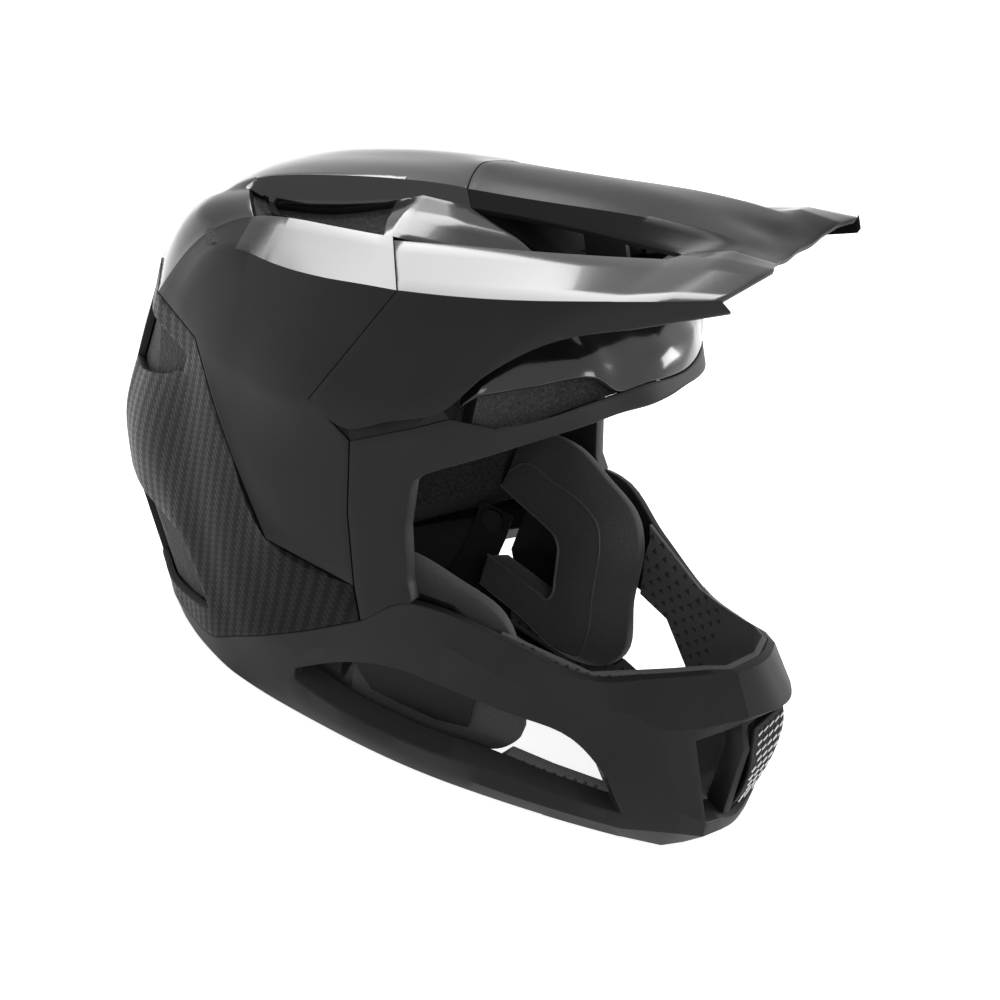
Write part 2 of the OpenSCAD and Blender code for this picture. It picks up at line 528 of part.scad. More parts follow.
// Front foam, inside the crown and the brow panel
brow_line = [for (k = [0:7]) frame_half[0][k]];
brow_top = last(net(brow_shares));
foam_front = [
  [for (k = [0:8]) k < 7 ? brow_line[k] : k == 7 ? mix(brow_line[6], brow_line[7], 1 / 2) : brow_line[7]],
  [for (k = [0:8]) k < 3 ? brow_top[k] : k == 3 ? mix(brow_top[2], brow_top[3], 1 / 2) : brow_top[k - 1]]];
crown_smooth = smooth_rows(crown_half, crown_steps, crown_corners);
foam_half = concat([for (row = foam_front) filled(row, crown_n)],
  [for (k = [crown_steps:len(crown_smooth) - 1]) crown_smooth[k]]);
foam_grid = both_sides(foam_half);
foam_skin = shell_t + foam_gap;
foam_keep = function (i, j)
  !(i < foam_seam_row && half_cell(j, crown_middle) >= crown_wing_cols[1]);
function foam_inner(grid) = [for (row = grid) [for (p = row) at_radius(p, foam_radius(p, foam_skin))]];
// The foam is sunk under the crown vents
function vent_sink(i, j) =
  let (col = abs(j - crown_middle))
  (col == sunk_cols[0] || col == sunk_cols[1]) && inside(i, sunk_rows) ? vent_sink_t : 0;
module front_foam() {
  outer = [for (i = [0:len(foam_grid) - 1]) [for (j = [0:len(foam_grid[0]) - 1])
    inward(foam_grid[i][j], foam_skin + vent_sink(i, j))]];
  color("#33343a") difference() {
    panel(outer, foam_inner(foam_grid), foam_keep, [0, 0, 2 * seam]);
    pad_room(seam + seat);
  }
}

// Rear foam, inside the rear shell
module rear_foam() {
  color("#33343a") difference() {
    panel(deeper(rear_grid, foam_skin), foam_inner(rear_grid), everywhere(), [0, seam, seam]);
    pad_room(seam + seat);
  }
}

// Comfort pads lie on the inside of the foam
function pad_inner(grid) = [for (row = grid) [for (p = row)
  at_radius(p, foam_radius(p, foam_skin) - seat - pad_t)]];
function pad_outer(grid) = [for (row = grid) [for (p = row)
  at_radius(p, foam_radius(p, foam_skin) - seat)]];
module crown_pad() {
  keep = function (i, j)
    let (col = half_cell(j, crown_middle))
    let (bridged = col != crown_pad_slot || inside(i, crown_pad_bridge))
    inside(i, crown_pad_rows) && col < crown_pad_col && bridged;
  color("#3c3d42") panel(pad_outer(foam_grid), pad_inner(foam_grid), keep, [0, 0, 2 * seam]);
}
module brow_pad() {
  keep = function (i, j) i < brow_pad_row && half_cell(j, crown_middle) < brow_pad_col;
  color("#3c3d42") panel(pad_outer(foam_grid), pad_inner(foam_grid), keep, [0, 0, 2 * seam]);
}
module nape_pad() {
  keep = function (i, j) inside(i, nape_pad_rows) && half_cell(j, rear_middle) < nape_pad_col;
  color("#3c3d42") panel(pad_outer(rear_grid), pad_inner(rear_grid), keep, [0, seam, seam]);
}

// Visor: walls follow the crown at the rear seam and turn to the visor's own inside further on
visor_half = net(visor_shares);
visor_middle = len(visor_half[0]) - 1;
visor_grid = both_sides(smooth_rows(visor_half, visor_steps));
visor_core = at(visor_core_shares);
function visor_inside(p, share) =
  let (own = unit([visor_core[0], p[1] + visor_core[1], visor_core[2]] - p))
  p + unit(mix(unit(core - p), own, share)) * visor_t;
visor_keep = function (i, j)
  let (row = floor(i / visor_steps), col = half_cell(j, visor_middle))
  !(col == window_col && row < window_rows);
module visor() {
  inner = [for (i = [0:len(visor_grid) - 1]) [for (p = visor_grid[i])
    visor_inside(p, min(1, max(0, i - 1) / visor_turn_rows))]];
  color("#17181a") panel(visor_grid, inner, visor_keep, [0, -seam, 2 * seam], turn = true);
}

// Everything on the thumb screw lies in a frame tilted by the visor slope
knob_place = at(knob_shares);
module at_knob() {
  translate(knob_place) rotate([-visor_slope, 0, 0]) children();
}
// Tongue with a slot that opens to the rear, so that the visor can break off forwards
module across(front, run) {
  translate([0, front + run, 0]) rotate([90, 0, 0]) linear_extrude(run) children();
}
module visor_tongue() {
  slot_w = screw_d + 2 * slot_gap;
  half = tongue_w / 2;
  front = -tongue_l * tongue_front_share;
  color("#1b1c1e") at_knob() difference() {
    union() {
      translate([-half, front, -tongue_t]) cube([tongue_w, tongue_l, tongue_t]);
      across(-ear_l / 2, ear_l) polygon([
        [-half, -tongue_t], [half, -tongue_t], [half + ear_lean, ear_rise],
        [half + ear_lean - tongue_t, ear_rise], [half - tongue_t, 0], [tongue_t - half, 0],
        [tongue_t - half - ear_lean, ear_rise], [-half - ear_lean, ear_rise]]);
    }
    translate([0, 0, -tongue_t - over]) cylinder(d = slot_w, h = tongue_t + 2 * over, $fn = 48);
    translate([-slot_w / 2, 0, -tongue_t - over]) cube([slot_w, tongue_l, tongue_t + 2 * over]);
  }
}
module thumb_screw() {
  color("#2c2d30") at_knob() {
    difference() {
      translate([0, 0, seam]) cylinder(d = knob_d, h = knob_h, $fn = 64);
      for (k = [0:knob_grips - 1]) rotate([0, 0, k * 360 / knob_grips])
        translate([knob_d / 2 + grip_d / 4, 0, seam - over])
          cylinder(d = grip_d, h = knob_h + 2 * over, $fn = 24);
    }
    translate([0, 0, seam - shank_l]) cylinder(d = screw_d, h = shank_l + knob_h / 2, $fn = 48);
  }
}
// Deck under the visor's middle, with the boss that takes the thumb screw
module visor_bracket() {
  deck_half = [for (share = deck_row_shares) [for (j = [0:deck_cols])
    mix(foam_half[1][j], foam_half[2][j], share)]];
  deck = both_sides(deck_half);
  boss_top = -tongue_t - seam;
  deck_run = deck[1][deck_cols] - deck[0][deck_cols];
  deck_up = unit([0, -deck_run[2], deck_run[1]]);
  deck_top = foam_skin - deck_gap - deck_t;
  above_deck = (knob_place - inward(deck[0][deck_cols], deck_top)) * deck_up;
  boss_l = above_deck / ([0, sin(visor_slope), cos(visor_slope)] * deck_up) + boss_top - boss_rise;
  color("#1b1c1e") difference() {
    union() {
      panel(deeper(deck, deck_top), deeper(deck, deck_top + deck_t), everywhere(), [0, 0, 2 * seam]);
      at_knob() translate([0, 0, boss_top - boss_l]) cylinder(d = boss_d, h = boss_l, $fn = 64);
    }
    at_knob() translate([0, 0, -shank_l - over])
      cylinder(d = screw_d + 2 * fit, h = shank_l + over, $fn = 48);
  }
}

// Mouth vent: surround with six sides and the mesh in it
vent_station = chin_shares[len(chin_shares) - 2];
vent_top = at(vent_station[2]);
vent_low = inward(at(vent_station[3]), chin_t);
vent_outline = [for (s = vent_shares)
  [s[0] * mouth_w / 2, mix(vent_low[2] + seat, vent_top[2] - seat, s[1])]];
vent_front = vent_top[1] - vent_lead;
vent_h = vent_outline[0][1] - vent_outline[2][1];
module in_chin_plane(front, depth) {
  translate([0, front + depth, 0]) rotate([90, 0, 0]) linear_extrude(depth) children();
}
module vent_area(inset) {
  offset_share = 1 - 2 * inset / mouth_w;
  middle = vent_outline[2][1] + vent_h / 2;
  high_share = 1 - 2 * inset / vent_h;
  polygon([for (p = vent_outline) [p[0] * offset_share, middle + (p[1] - middle) * high_share]]);
}
module mouth_vent() {
  color("#3a3b3e") in_chin_plane(vent_front, vent_depth) difference() {
    vent_area(0);
    vent_area(vent_t);
  }
}
module mesh_pattern() {
  slot_w = mesh_pitch * mesh_slot_share;
  rows = floor(vent_h / mesh_pitch);
  cols = floor(mouth_w / mesh_pitch / 2);
  difference() {
    vent_area(vent_t + seam);
    intersection() {
      vent_area(vent_t + mesh_pitch * mesh_rim_share);
      for (r = [0:rows], c = [-cols:cols])
        translate([(c + (r % 2) / 2) * mesh_pitch, vent_outline[2][1] + r * mesh_pitch])
          square([slot_w, mesh_pitch * mesh_bar_share], center = true);
    }
  }
}
// The mesh is bowed forward round an axis from side to side
module bowed_sheet() {
  bow_r = pow(vent_h / 2, 2) / (2 * mesh_bow) + mesh_bow / 2;
  translate([-mouth_w / 2, vent_front + mesh_set - mesh_bow + bow_r, vent_outline[2][1] + vent_h / 2])
    rotate([0, 90, 0]) difference() {
      cylinder(r = bow_r, h = mouth_w, $fn = 180);
      translate([0, 0, -over]) cylinder(r = bow_r - mesh_t, h = mouth_w + 2 * over, $fn = 180);
    }
}
module mouth_mesh() {
  color("#8a8c90") intersection() {
    in_chin_plane(vent_front - mesh_bow - over, vent_depth + mesh_bow) mesh_pattern();
    bowed_sheet();
  }
}

// Cheek pads: a cushion that runs round the ear like a C, on a carrier plate with studs.
// They are drawn in a frame of their own: x out to the side, y to the rear, z up.
cheek_place = at(cheek_shares);
module at_cheek() {
  translate(cheek_place) rotate([0, cheek_roll, -cheek_toe]) children();
}
module right_and_left() {
  children();
  mirror([1, 0, 0]) children();
}
function cheek_point(s) = [s[0] * cheek_l, s[1] * cheek_h];
cushion_back = -plate_t - seat;
function on_cushion(s, depth) = [cushion_back - cheek_t * depth, each cheek_point(s)];
cushion_depth_shares = [cushion_side_share, cushion_edge_share, 1];
module cheek_cushion() {
  face = [for (k = [0:2]) [for (st = cushion_shares) on_cushion(st[k], cushion_depth_shares[k])]];
  back = [for (k = [0:2]) [for (st = cushion_shares) on_cushion(st[k], 0)]];
  at_cheek() panel(face, back, everywhere());
}
// Room for the pads in the chin liner and in the foam; reach counts outwards from the carrier
module pad_room(reach) {
  outline = [for (st = cushion_shares) cheek_point(st[0])];
  right_and_left() at_cheek() translate([-pad_room_t, 0, 0])
    rotate([90, 0, 90]) linear_extrude(pad_room_t + reach) offset(delta = seam + seat) polygon(outline);
}
module cheek_pad_left() {
  color("#2b2c2f") cheek_cushion();
}
module cheek_pad_right() {
  color("#2b2c2f") mirror([1, 0, 0]) cheek_cushion();
}
module studs(d, h, x) {
  for (s = stud_shares)
    translate([x, cheek_point(s)[0], cheek_point(s)[1]]) rotate([0, 90, 0]) cylinder(d = d, h = h, $fn = 48);
}
module cheek_carrier() {
  outline = [for (s = plate_shares) cheek_point(s)];
  at_cheek() {
    translate([-plate_t, 0, 0]) rotate([90, 0, 90]) linear_extrude(plate_t) polygon(outline);
    translate([-plate_t / 2, 0, 0]) studs(stud_d, stud_l + plate_t / 2, 0);
  }
}
module cheek_carrier_left() {
  color("#1f2022") cheek_carrier();
}
module cheek_carrier_right() {
  color("#1f2022") mirror([1, 0, 0]) cheek_carrier();
}
// Cups that hold the studs, set into bores of the chin liner
module snap_cups() {
  at_cheek() difference() {
    studs(socket_d, socket_l, seat);
    studs(stud_d + 2 * fit, stud_l + seam + over, -over);
  }
}
module cheek_sockets() {
  color("#1f2022") right_and_left() snap_cups();
}
module socket_bores(reach) {
  right_and_left() at_cheek() studs(socket_d + 2 * seat, reach + over + seat, -over);
}

// Chin strap: webbing from a rivet on each side, down and across the neck opening
strap_line = smooth([for (s = strap_shares) [s[0] * half_w, s[1] * helmet_h]], strap_steps, strap_corners);
function strap_normal(k) =
  let (n = len(strap_line) - 1)
  let (d = unit(strap_line[min(n, k + 1)] - strap_line[max(0, k - 1)])) [-d[1], d[0]];
module webbing(width) {
  n = len(strap_line) - 1;
  upper = [for (k = [0:n]) strap_line[k] + strap_normal(k) * strap_t / 2];
  lower = [for (k = [n:-1:0]) strap_line[k] - strap_normal(k) * strap_t / 2];
  translate([0, strap_y + width / 2, 0]) rotate([90, 0, 0]) linear_extrude(width)
    polygon(concat(upper, lower));
}
strap_y = strap_y_share * half_l;
anchor_place = at(anchor_shares);
module anchor_hole(d, x, h) {
  translate([x, strap_y, anchor_place[2]]) rotate([0, 90, 0]) cylinder(d = d, h = h, $fn = 48);
}
module strap_half() {
  difference() {
    webbing(strap_w);
    anchor_hole(rivet_d + 2 * seat, 0, half_w);
  }
}
module strap_left() {
  color("#151517") strap_half();
}
module strap_right() {
  color("#151517") mirror([1, 0, 0]) strap_half();
}
// Rivet with a head on the inside of the webbing and a washer on the chin bar
module rivet() {
  strap_out = strap_line[0][0] + strap_t / 2 + seat;
  head_in = strap_line[0][0] - strap_t / 2 - seat - rivet_head_t;
  anchor_hole(rivet_head_d, strap_out, anchor_place[0] - strap_out);
  anchor_hole(rivet_d, head_in, anchor_place[0] - head_in);
  anchor_hole(rivet_head_d, head_in, rivet_head_t);
}
module strap_anchors() {
  color("#8d9095") right_and_left() rivet();
}
// Buckle at the lowest point of the strap: a housing with a pocket, and the plug in it
buckle_z = last(strap_line)[1];
strap_end_x = last(strap_line)[0];
housing_from = housing_shares[0] * half_w;
housing_to = housing_shares[1] * half_w;
pocket_from = pocket_x_share * half_w;
module buckle_box(x, size_x, size_y, size_z) {
  translate([x, strap_y - size_y / 2, buckle_z - size_z / 2]) cube([size_x, size_y, size_z]);
}
module buckle_housing() {
  color("#1b1c1e") difference() {
    buckle_box(housing_from, housing_to - housing_from, buckle_w, buckle_t);
    buckle_box(pocket_from, housing_to - pocket_from + over, buckle_w - 2 * wall_t, buckle_t - 2 * wall_t);
    buckle_box(housing_from - over, seat + over - strap_end_x - housing_from,
      strap_w + 2 * seat, strap_t + 2 * seat);
  }
}
module buckle_plug() {
  plug_w = buckle_w - 2 * wall_t - 2 * seat;
  plug_t = buckle_t - 2 * wall_t - 2 * seat;
  plug_from = pocket_from + seat;
  head_from = housing_to + seat;
  color("#2c2d30") difference() {
    union() {
      buckle_box(plug_from, head_from - plug_from + over, plug_w, plug_t);
      buckle_box(head_from, plug_head_l, buckle_w, buckle_t);
    }
    buckle_box(strap_end_x - seat, plug_head_l + over, strap_w + 2 * seat, strap_t + 2 * seat);
  }
}

// Rail on each side under the visor's wing, on the edge of the eyeport frame
rail_low = [for (j = rail_cols) frame_half[0][j]];
rail_half = [net([rail_shares])[0], rail_low];
module side_rail() {
  panel(deeper(rail_half, rail_set), deeper(rail_half, shell_t), everywhere(), [0, 0, 2 * seam]);
}
module side_rails() {
  color("#1b1c1e") right_and_left() side_rail();
}

crown_shell();
rear_shell();
chin_bar();
eyeport_frame();
brow_panel();
chin_liner();
front_foam();
rear_foam();
crown_pad();
brow_pad();
nape_pad();
visor();
visor_tongue();
thumb_screw();
visor_bracket();
mouth_vent();
mouth_mesh();
cheek_pad_right();
cheek_pad_left();
cheek_carrier_right();
cheek_carrier_left();
cheek_sockets();
strap_right();
strap_left();
strap_anchors();
buckle_housing();
buckle_plug();
side_rails();
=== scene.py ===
import bpy
import bmesh
import math
from mathutils import Matrix, Vector


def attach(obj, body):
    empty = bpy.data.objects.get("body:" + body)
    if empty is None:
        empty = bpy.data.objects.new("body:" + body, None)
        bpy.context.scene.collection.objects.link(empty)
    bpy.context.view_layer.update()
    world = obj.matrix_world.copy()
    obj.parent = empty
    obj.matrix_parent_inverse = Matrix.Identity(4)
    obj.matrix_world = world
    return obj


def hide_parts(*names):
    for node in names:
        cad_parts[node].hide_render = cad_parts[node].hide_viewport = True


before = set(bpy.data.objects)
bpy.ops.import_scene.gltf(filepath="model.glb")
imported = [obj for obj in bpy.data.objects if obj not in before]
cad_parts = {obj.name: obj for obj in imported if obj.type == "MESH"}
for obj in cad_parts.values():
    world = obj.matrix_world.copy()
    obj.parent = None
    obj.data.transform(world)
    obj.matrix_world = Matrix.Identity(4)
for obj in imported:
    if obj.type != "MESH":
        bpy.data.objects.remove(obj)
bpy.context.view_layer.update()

# Driving sizes in millimetres; the net tables are shares of the first three
MM = 0.001
HALF_W = 115
HALF_L = 175
HELMET_H = 288
SEAM = 0.3
SHELL_T = 3.5
VISOR_T = 3
FRAME_T = 9
CHIN_T = 12
RIM_T = 4
LAND_W = 7


def at(share):
    """Place from shares of half the width, half the length and the height."""
    return Vector((share[0] * HALF_W, share[1] * HALF_L, share[2] * HELMET_H))


def placed(name, data):
    """A new object in the scene."""
    obj = bpy.data.objects.new(name, data)
    bpy.context.scene.collection.objects.link(obj)
    return obj


# Point inside the head cavity that the walls are thickened towards
CORE = at((0, 0.17, 0.38))

# Camera, in degrees and millimetres
CAM_AZ = -64.1
CAM_EL = 18.7
CAM_PITCH = 19.3
CAM_AWAY = 1818.18
CAM_LEFT = 47.9
CAM_DOWN = 8.9
CAM_TARGET = Vector((0, -58, 138))
CAM_LENS = 144
CAM_SENSOR = 36


def add_camera():
    az, el = math.radians(CAM_AZ), math.radians(CAM_EL)
    back = Vector((math.sin(az) * math.cos(el), -math.cos(az) * math.cos(el), math.sin(el)))
    right = Vector((math.cos(az), math.sin(az), 0))
    up = back.cross(right)
    tilt = Matrix.Rotation(-math.radians(CAM_PITCH), 3, "X")
    eye = tilt @ (back * CAM_AWAY - right * CAM_LEFT - up * CAM_DOWN) + CAM_TARGET
    axes = [tilt @ right, tilt @ up, tilt @ back]
    rows = [[axes[c][r] for c in range(3)] + [eye[r] * MM] for r in range(3)]
    camera = placed("camera", bpy.data.cameras.new("camera"))
    camera.matrix_world = Matrix(rows + [[0, 0, 0, 1]])
    camera.data.lens = CAM_LENS
    camera.data.sensor_width = CAM_SENSOR
    camera.data.clip_end = 20
    bpy.context.scene.camera = camera
    bpy.context.scene.view_settings.view_transform = "Standard"


add_camera()


# Materials; lengths in them are in metres
class Nodes:
    """Small helper that adds nodes to a material and links them."""

    def __init__(self, name):
        self.mat = bpy.data.materials.new(name)
        self.mat.use_nodes = True
        self.tree = self.mat.node_tree
        self.shader = self.tree.nodes["Principled BSDF"]

    def add(self, kind, **values):
        node = self.tree.nodes.new(kind)
        for key, value in values.items():
            setattr(node, key, value)
        return node

    def put(self, socket, value):
        if hasattr(value, "is_output"):
            self.tree.links.new(value, socket)
        else:
            socket.default_value = value

    def math(self, op, a, b=0.0, c=0.0):
        node = self.add("ShaderNodeMath", operation=op)
        for k, value in enumerate((a, b, c)):
            self.put(node.inputs[k], value)
        return node.outputs[0]

    def coords(self):
        return self.add("ShaderNodeTexCoord").outputs["Object"]

    def xyz(self, vector=None):
        node = self.add("ShaderNodeSeparateXYZ")
        self.put(node.inputs[0], self.coords() if vector is None else vector)
        return node.outputs

    def noise(self, scale, detail=2.0, rough=0.5):
        node = self.add("ShaderNodeTexNoise")
        self.put(node.inputs["Vector"], self.coords())
        node.inputs["Scale"].default_value = scale
        node.inputs["Detail"].default_value = detail
        node.inputs["Roughness"].default_value = rough
        return node.outputs["Fac"]

    def cells(self, scale):
        node = self.add("ShaderNodeTexVoronoi", feature="F1")
        self.put(node.inputs["Vector"], self.coords())
        node.inputs["Scale"].default_value = scale
        return node.outputs["Distance"]

    def ramp(self, fac, stops):
        node = self.add("ShaderNodeValToRGB")
        self.put(node.inputs[0], fac)
        while len(node.color_ramp.elements) < len(stops):
            node.color_ramp.elements.new(0.5)
        for element, (place, colour) in zip(node.color_ramp.elements, stops):
            element.position = place
            element.color = (*colour, 1)
        return node.outputs[0]

    def either(self, fac, a, b):
        """a where fac is 0 and b where it is 1."""
        node = self.add("ShaderNodeMix")
        for socket, value in ((0, fac), (2, a), (3, b)):
            self.put(node.inputs[socket], value)
        return node.outputs[0]

    def either_colour(self, fac, a, b, blend="MIX"):
        node = self.add("ShaderNodeMix", data_type="RGBA", blend_type=blend)
        for socket, value in ((0, fac), (6, a), (7, b)):
            self.put(node.inputs[socket], value)
        return node.outputs[2]

    def bump(self, height, strength, distance=0.0005, after=None):
        node = self.add("ShaderNodeBump")
        node.inputs["Strength"].default_value = strength
        node.inputs["Distance"].default_value = distance
        self.put(node.inputs["Height"], height)
        if after is not None:
            self.put(node.inputs["Normal"], after)
        return node.outputs[0]

    def set(self, **values):
        for key, value in values.items():
            self.put(self.shader.inputs[key.replace("_", " ")], value)
        return self.mat


def grey(v, tint=1.04):
    return (v, v, v * tint)


def gloss_paint(name, v=0.006):
    n = Nodes(name)
    colour = n.ramp(n.noise(40), [(0.3, grey(v)), (0.7, grey(v * 1.3))])
    rough = n.math("MULTIPLY_ADD", n.noise(900, 1), 0.03, 0.13)
    fine = n.bump(n.noise(2600, 1), 0.02)
    return n.set(Base_Color=colour, Roughness=rough, Normal=fine, Specular_IOR_Level=0.4,
                 Coat_Weight=0.3, Coat_Roughness=0.05)


def matt_paint(name, v=0.013, rough=0.46):
    n = Nodes(name)
    colour = n.ramp(n.noise(30), [(0.3, grey(v * 0.9)), (0.7, grey(v * 1.15))])
    r = n.math("MULTIPLY_ADD", n.noise(700, 2), 0.08, rough - 0.04)
    fine = n.bump(n.noise(3800, 1), 0.06)
    return n.set(Base_Color=colour, Roughness=r, Normal=fine, Specular_IOR_Level=0.16)


def moulded(name, v=0.01, rough=0.5, grain=2200):
    n = Nodes(name)
    colour = n.ramp(n.noise(60), [(0.3, grey(v * 0.85)), (0.7, grey(v * 1.2))])
    fine = n.bump(n.cells(grain), 0.12, 0.0003)
    r = n.math("MULTIPLY_ADD", n.noise(500, 2), 0.1, rough - 0.05)
    return n.set(Base_Color=colour, Roughness=r, Normal=fine, Specular_IOR_Level=0.18)


def twill(name, tow=0.0032522, dark=0.003, pale=0.013, axis_y=0.03, radius=0.11):
    """2x2 twill weave with its tows at 45 degrees, wrapped round an upright axis, with painted shade
    towards the edges of each tow; the weave pattern is real, and its paler tows are a painted reflection.
    """
    n = Nodes(name)
    x, y, z = n.xyz()
    along = n.math("MULTIPLY", n.math("ARCTAN2", x, n.math("SUBTRACT", y, axis_y)), radius)
    a = n.math("DIVIDE", n.math("ADD", along, z), tow)
    b = n.math("DIVIDE", n.math("SUBTRACT", along, z), tow)
    step = n.math("FRACT", n.math("DIVIDE", n.math("ADD", n.math("FLOOR", a), n.math("FLOOR", b)), 4))
    over = n.math("LESS_THAN", step, 0.5)
    hump_a, hump_b = [n.math("SINE", n.math("MULTIPLY", n.math("FRACT", way), math.pi)) for way in (a, b)]
    hump = n.either(over, hump_a, hump_b)
    # The two tow directions of the weave get two tones. The weave pattern is real; the paler tone is a
    # painted reflection off the tows that lie that way.
    tows = n.either_colour(over, (*grey(dark), 1), (*grey(pale), 1))
    # Painted shade: each tow is darker towards its edges, where it curves under its neighbours.
    edges = n.ramp(hump, [(0.0, (0.25, 0.25, 0.25)), (0.8, (1.0, 1.0, 1.0))])
    colour = n.either_colour(0.6, tows, edges, blend="MULTIPLY")
    rough = n.math("MULTIPLY_ADD", over, -0.12, 0.45)
    return n.set(Base_Color=colour, Roughness=rough, Specular_IOR_Level=0.08,
                 Normal=n.bump(hump, 0.3, 0.0003))


def bead_foam(name, v=0.03, bead=420):
    n = Nodes(name)
    colour = n.ramp(n.noise(900, 3, 0.7), [(0.35, grey(v * 0.35)), (0.62, grey(v * 1.6))])
    return n.set(Base_Color=colour, Roughness=0.75, Normal=n.bump(n.cells(bead), 0.5, 0.0009),
                 Specular_IOR_Level=0.3)


def knit(name, v=0.02, scale=1500, speck=0.35, sheen=0.15, rib=3800):
    """Speckled cloth with fine ribs both ways."""
    n = Nodes(name)
    stops = [(0.5 - speck / 2, grey(v * 0.5)), (0.5 + speck / 2, grey(v * 1.7))]
    colour = n.ramp(n.noise(scale, 4, 0.75), stops)
    x, y, z = n.xyz()
    ribs = n.math("MULTIPLY", n.math("SINE", n.math("MULTIPLY", n.math("ADD", x, y), rib)),
                  n.math("SINE", n.math("MULTIPLY", z, rib)))
    normal = n.bump(ribs, 0.12, 0.0003, n.bump(n.noise(scale * 0.7, 3), 0.2, 0.0006))
    return n.set(Base_Color=colour, Roughness=0.82, Normal=normal, Specular_IOR_Level=0.2,
                 Sheen_Weight=sheen, Sheen_Roughness=0.5)


def perforated(name, v=0.1, pitch=0.0055, front=-0.12, steepest=0.62):
    """Grey cloth with rows of three-cornered holes, plain at the front and on level faces."""
    n = Nodes(name)
    x, y, z = n.xyz()
    along = n.math("DIVIDE", n.math("ADD", y, n.math("MULTIPLY", x, -0.5)), pitch)
    height = n.math("DIVIDE", z, pitch * 0.8)
    stagger = n.math("MULTIPLY", n.math("MODULO", n.math("FLOOR", height), 2.0), 0.5)
    along = n.math("ADD", along, stagger)
    aside = n.math("ABSOLUTE", n.math("SUBTRACT", n.math("FRACT", along), 0.5))
    rise = n.math("FRACT", height)
    sides = n.math("ADD", n.math("MULTIPLY", aside, 1.5), n.math("MULTIPLY", rise, 0.75))
    inside = n.math("LESS_THAN", sides, 0.5)
    above = n.math("GREATER_THAN", rise, 0.14)
    facing = n.xyz(n.add("ShaderNodeTexCoord").outputs["Normal"])
    upright = n.math("LESS_THAN", n.math("ABSOLUTE", facing[2]), steepest)
    behind = n.math("GREATER_THAN", y, front)
    hole = n.math("MULTIPLY", n.math("MULTIPLY", inside, above), n.math("MULTIPLY", upright, behind))
    cloth = n.ramp(n.noise(2500, 3, 0.7), [(0.3, grey(v * 0.6)), (0.7, grey(v * 1.35))])
    colour = n.either_colour(hole, cloth, (*grey(v * 0.3), 1))
    normal = n.bump(n.math("MULTIPLY", hole, -1.0), 0.6, 0.0006, n.bump(n.noise(2500, 2), 0.15))
    return n.set(Base_Color=colour, Roughness=0.8, Specular_IOR_Level=0.2, Normal=normal, Sheen_Weight=0.1)


def metal(name, v=0.5, rough=0.3):
    n = Nodes(name)
    colour = n.ramp(n.noise(200), [(0.2, grey(v * 0.85)), (0.8, grey(v))])
    r = n.math("MULTIPLY_ADD", n.noise(1500, 2), 0.15, rough)
    return n.set(Base_Color=colour, Roughness=r, Metallic=1.0)


GLOSS = gloss_paint("gloss_black_paint")
MATT = matt_paint("matt_charcoal_paint")
SATIN = matt_paint("satin_black_paint", 0.008, 0.3)
CARBON = twill("carbon_twill")
PLASTIC = moulded("moulded_black_plastic")
INNER = moulded("dark_shell_inside", 0.006, 0.6)
FOAM = bead_foam("bead_foam")
LINING = knit("speckled_lining", 0.08, 1100, 0.3)
CHEEK = knit("cheek_knit", 0.06, 2600, 0.5, 0.2)
PIPING = moulded("pale_piping", 0.09, 0.5)
LINER = perforated("perforated_cloth")
WEB = knit("black_webbing", 0.008, 1200)
RIVET = moulded("blackened_rivet", 0.006, 0.6)
MESH = moulded("black_grille", 0.004, 0.75)
# Bright metal for the grille bars, a painted highlight on the black mouth mesh.
PAINTED_HIGHLIGHT_METAL = metal("painted_highlight_bar_metal", 0.6, 0.3)

# Finish of the CAD nodes, also of those that a piece below replaces
NODE_FINISH = [
    (GLOSS, ["crown_shell", "brow_panel"]),
    (MATT, ["chin_bar", "eyeport_frame", "visor"]),
    (CARBON, ["rear_shell"]),
    (PLASTIC, ["side_rails", "visor_tongue", "thumb_screw", "visor_bracket", "mouth_vent",
               "cheek_carrier_right", "cheek_carrier_left", "cheek_sockets",
               "buckle_housing", "buckle_plug"]),
    (FOAM, ["front_foam", "rear_foam"]),
    (LINING, ["crown_pad", "brow_pad", "nape_pad"]),
    (CHEEK, ["cheek_pad_right", "cheek_pad_left"]),
    (LINER, ["chin_liner"]),
    (WEB, ["strap_right", "strap_left"]),
    (RIVET, ["strap_anchors"]),
    (MESH, ["mouth_mesh"])]


def paint_node(name, material):
    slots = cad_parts[name].data.materials
    if len(slots) == 0:
        slots.append(material)
    for k in range(len(slots)):
        slots[k] = material


for material, node_names in NODE_FINISH:
    for node_name in node_names:
        paint_node(node_name, material)

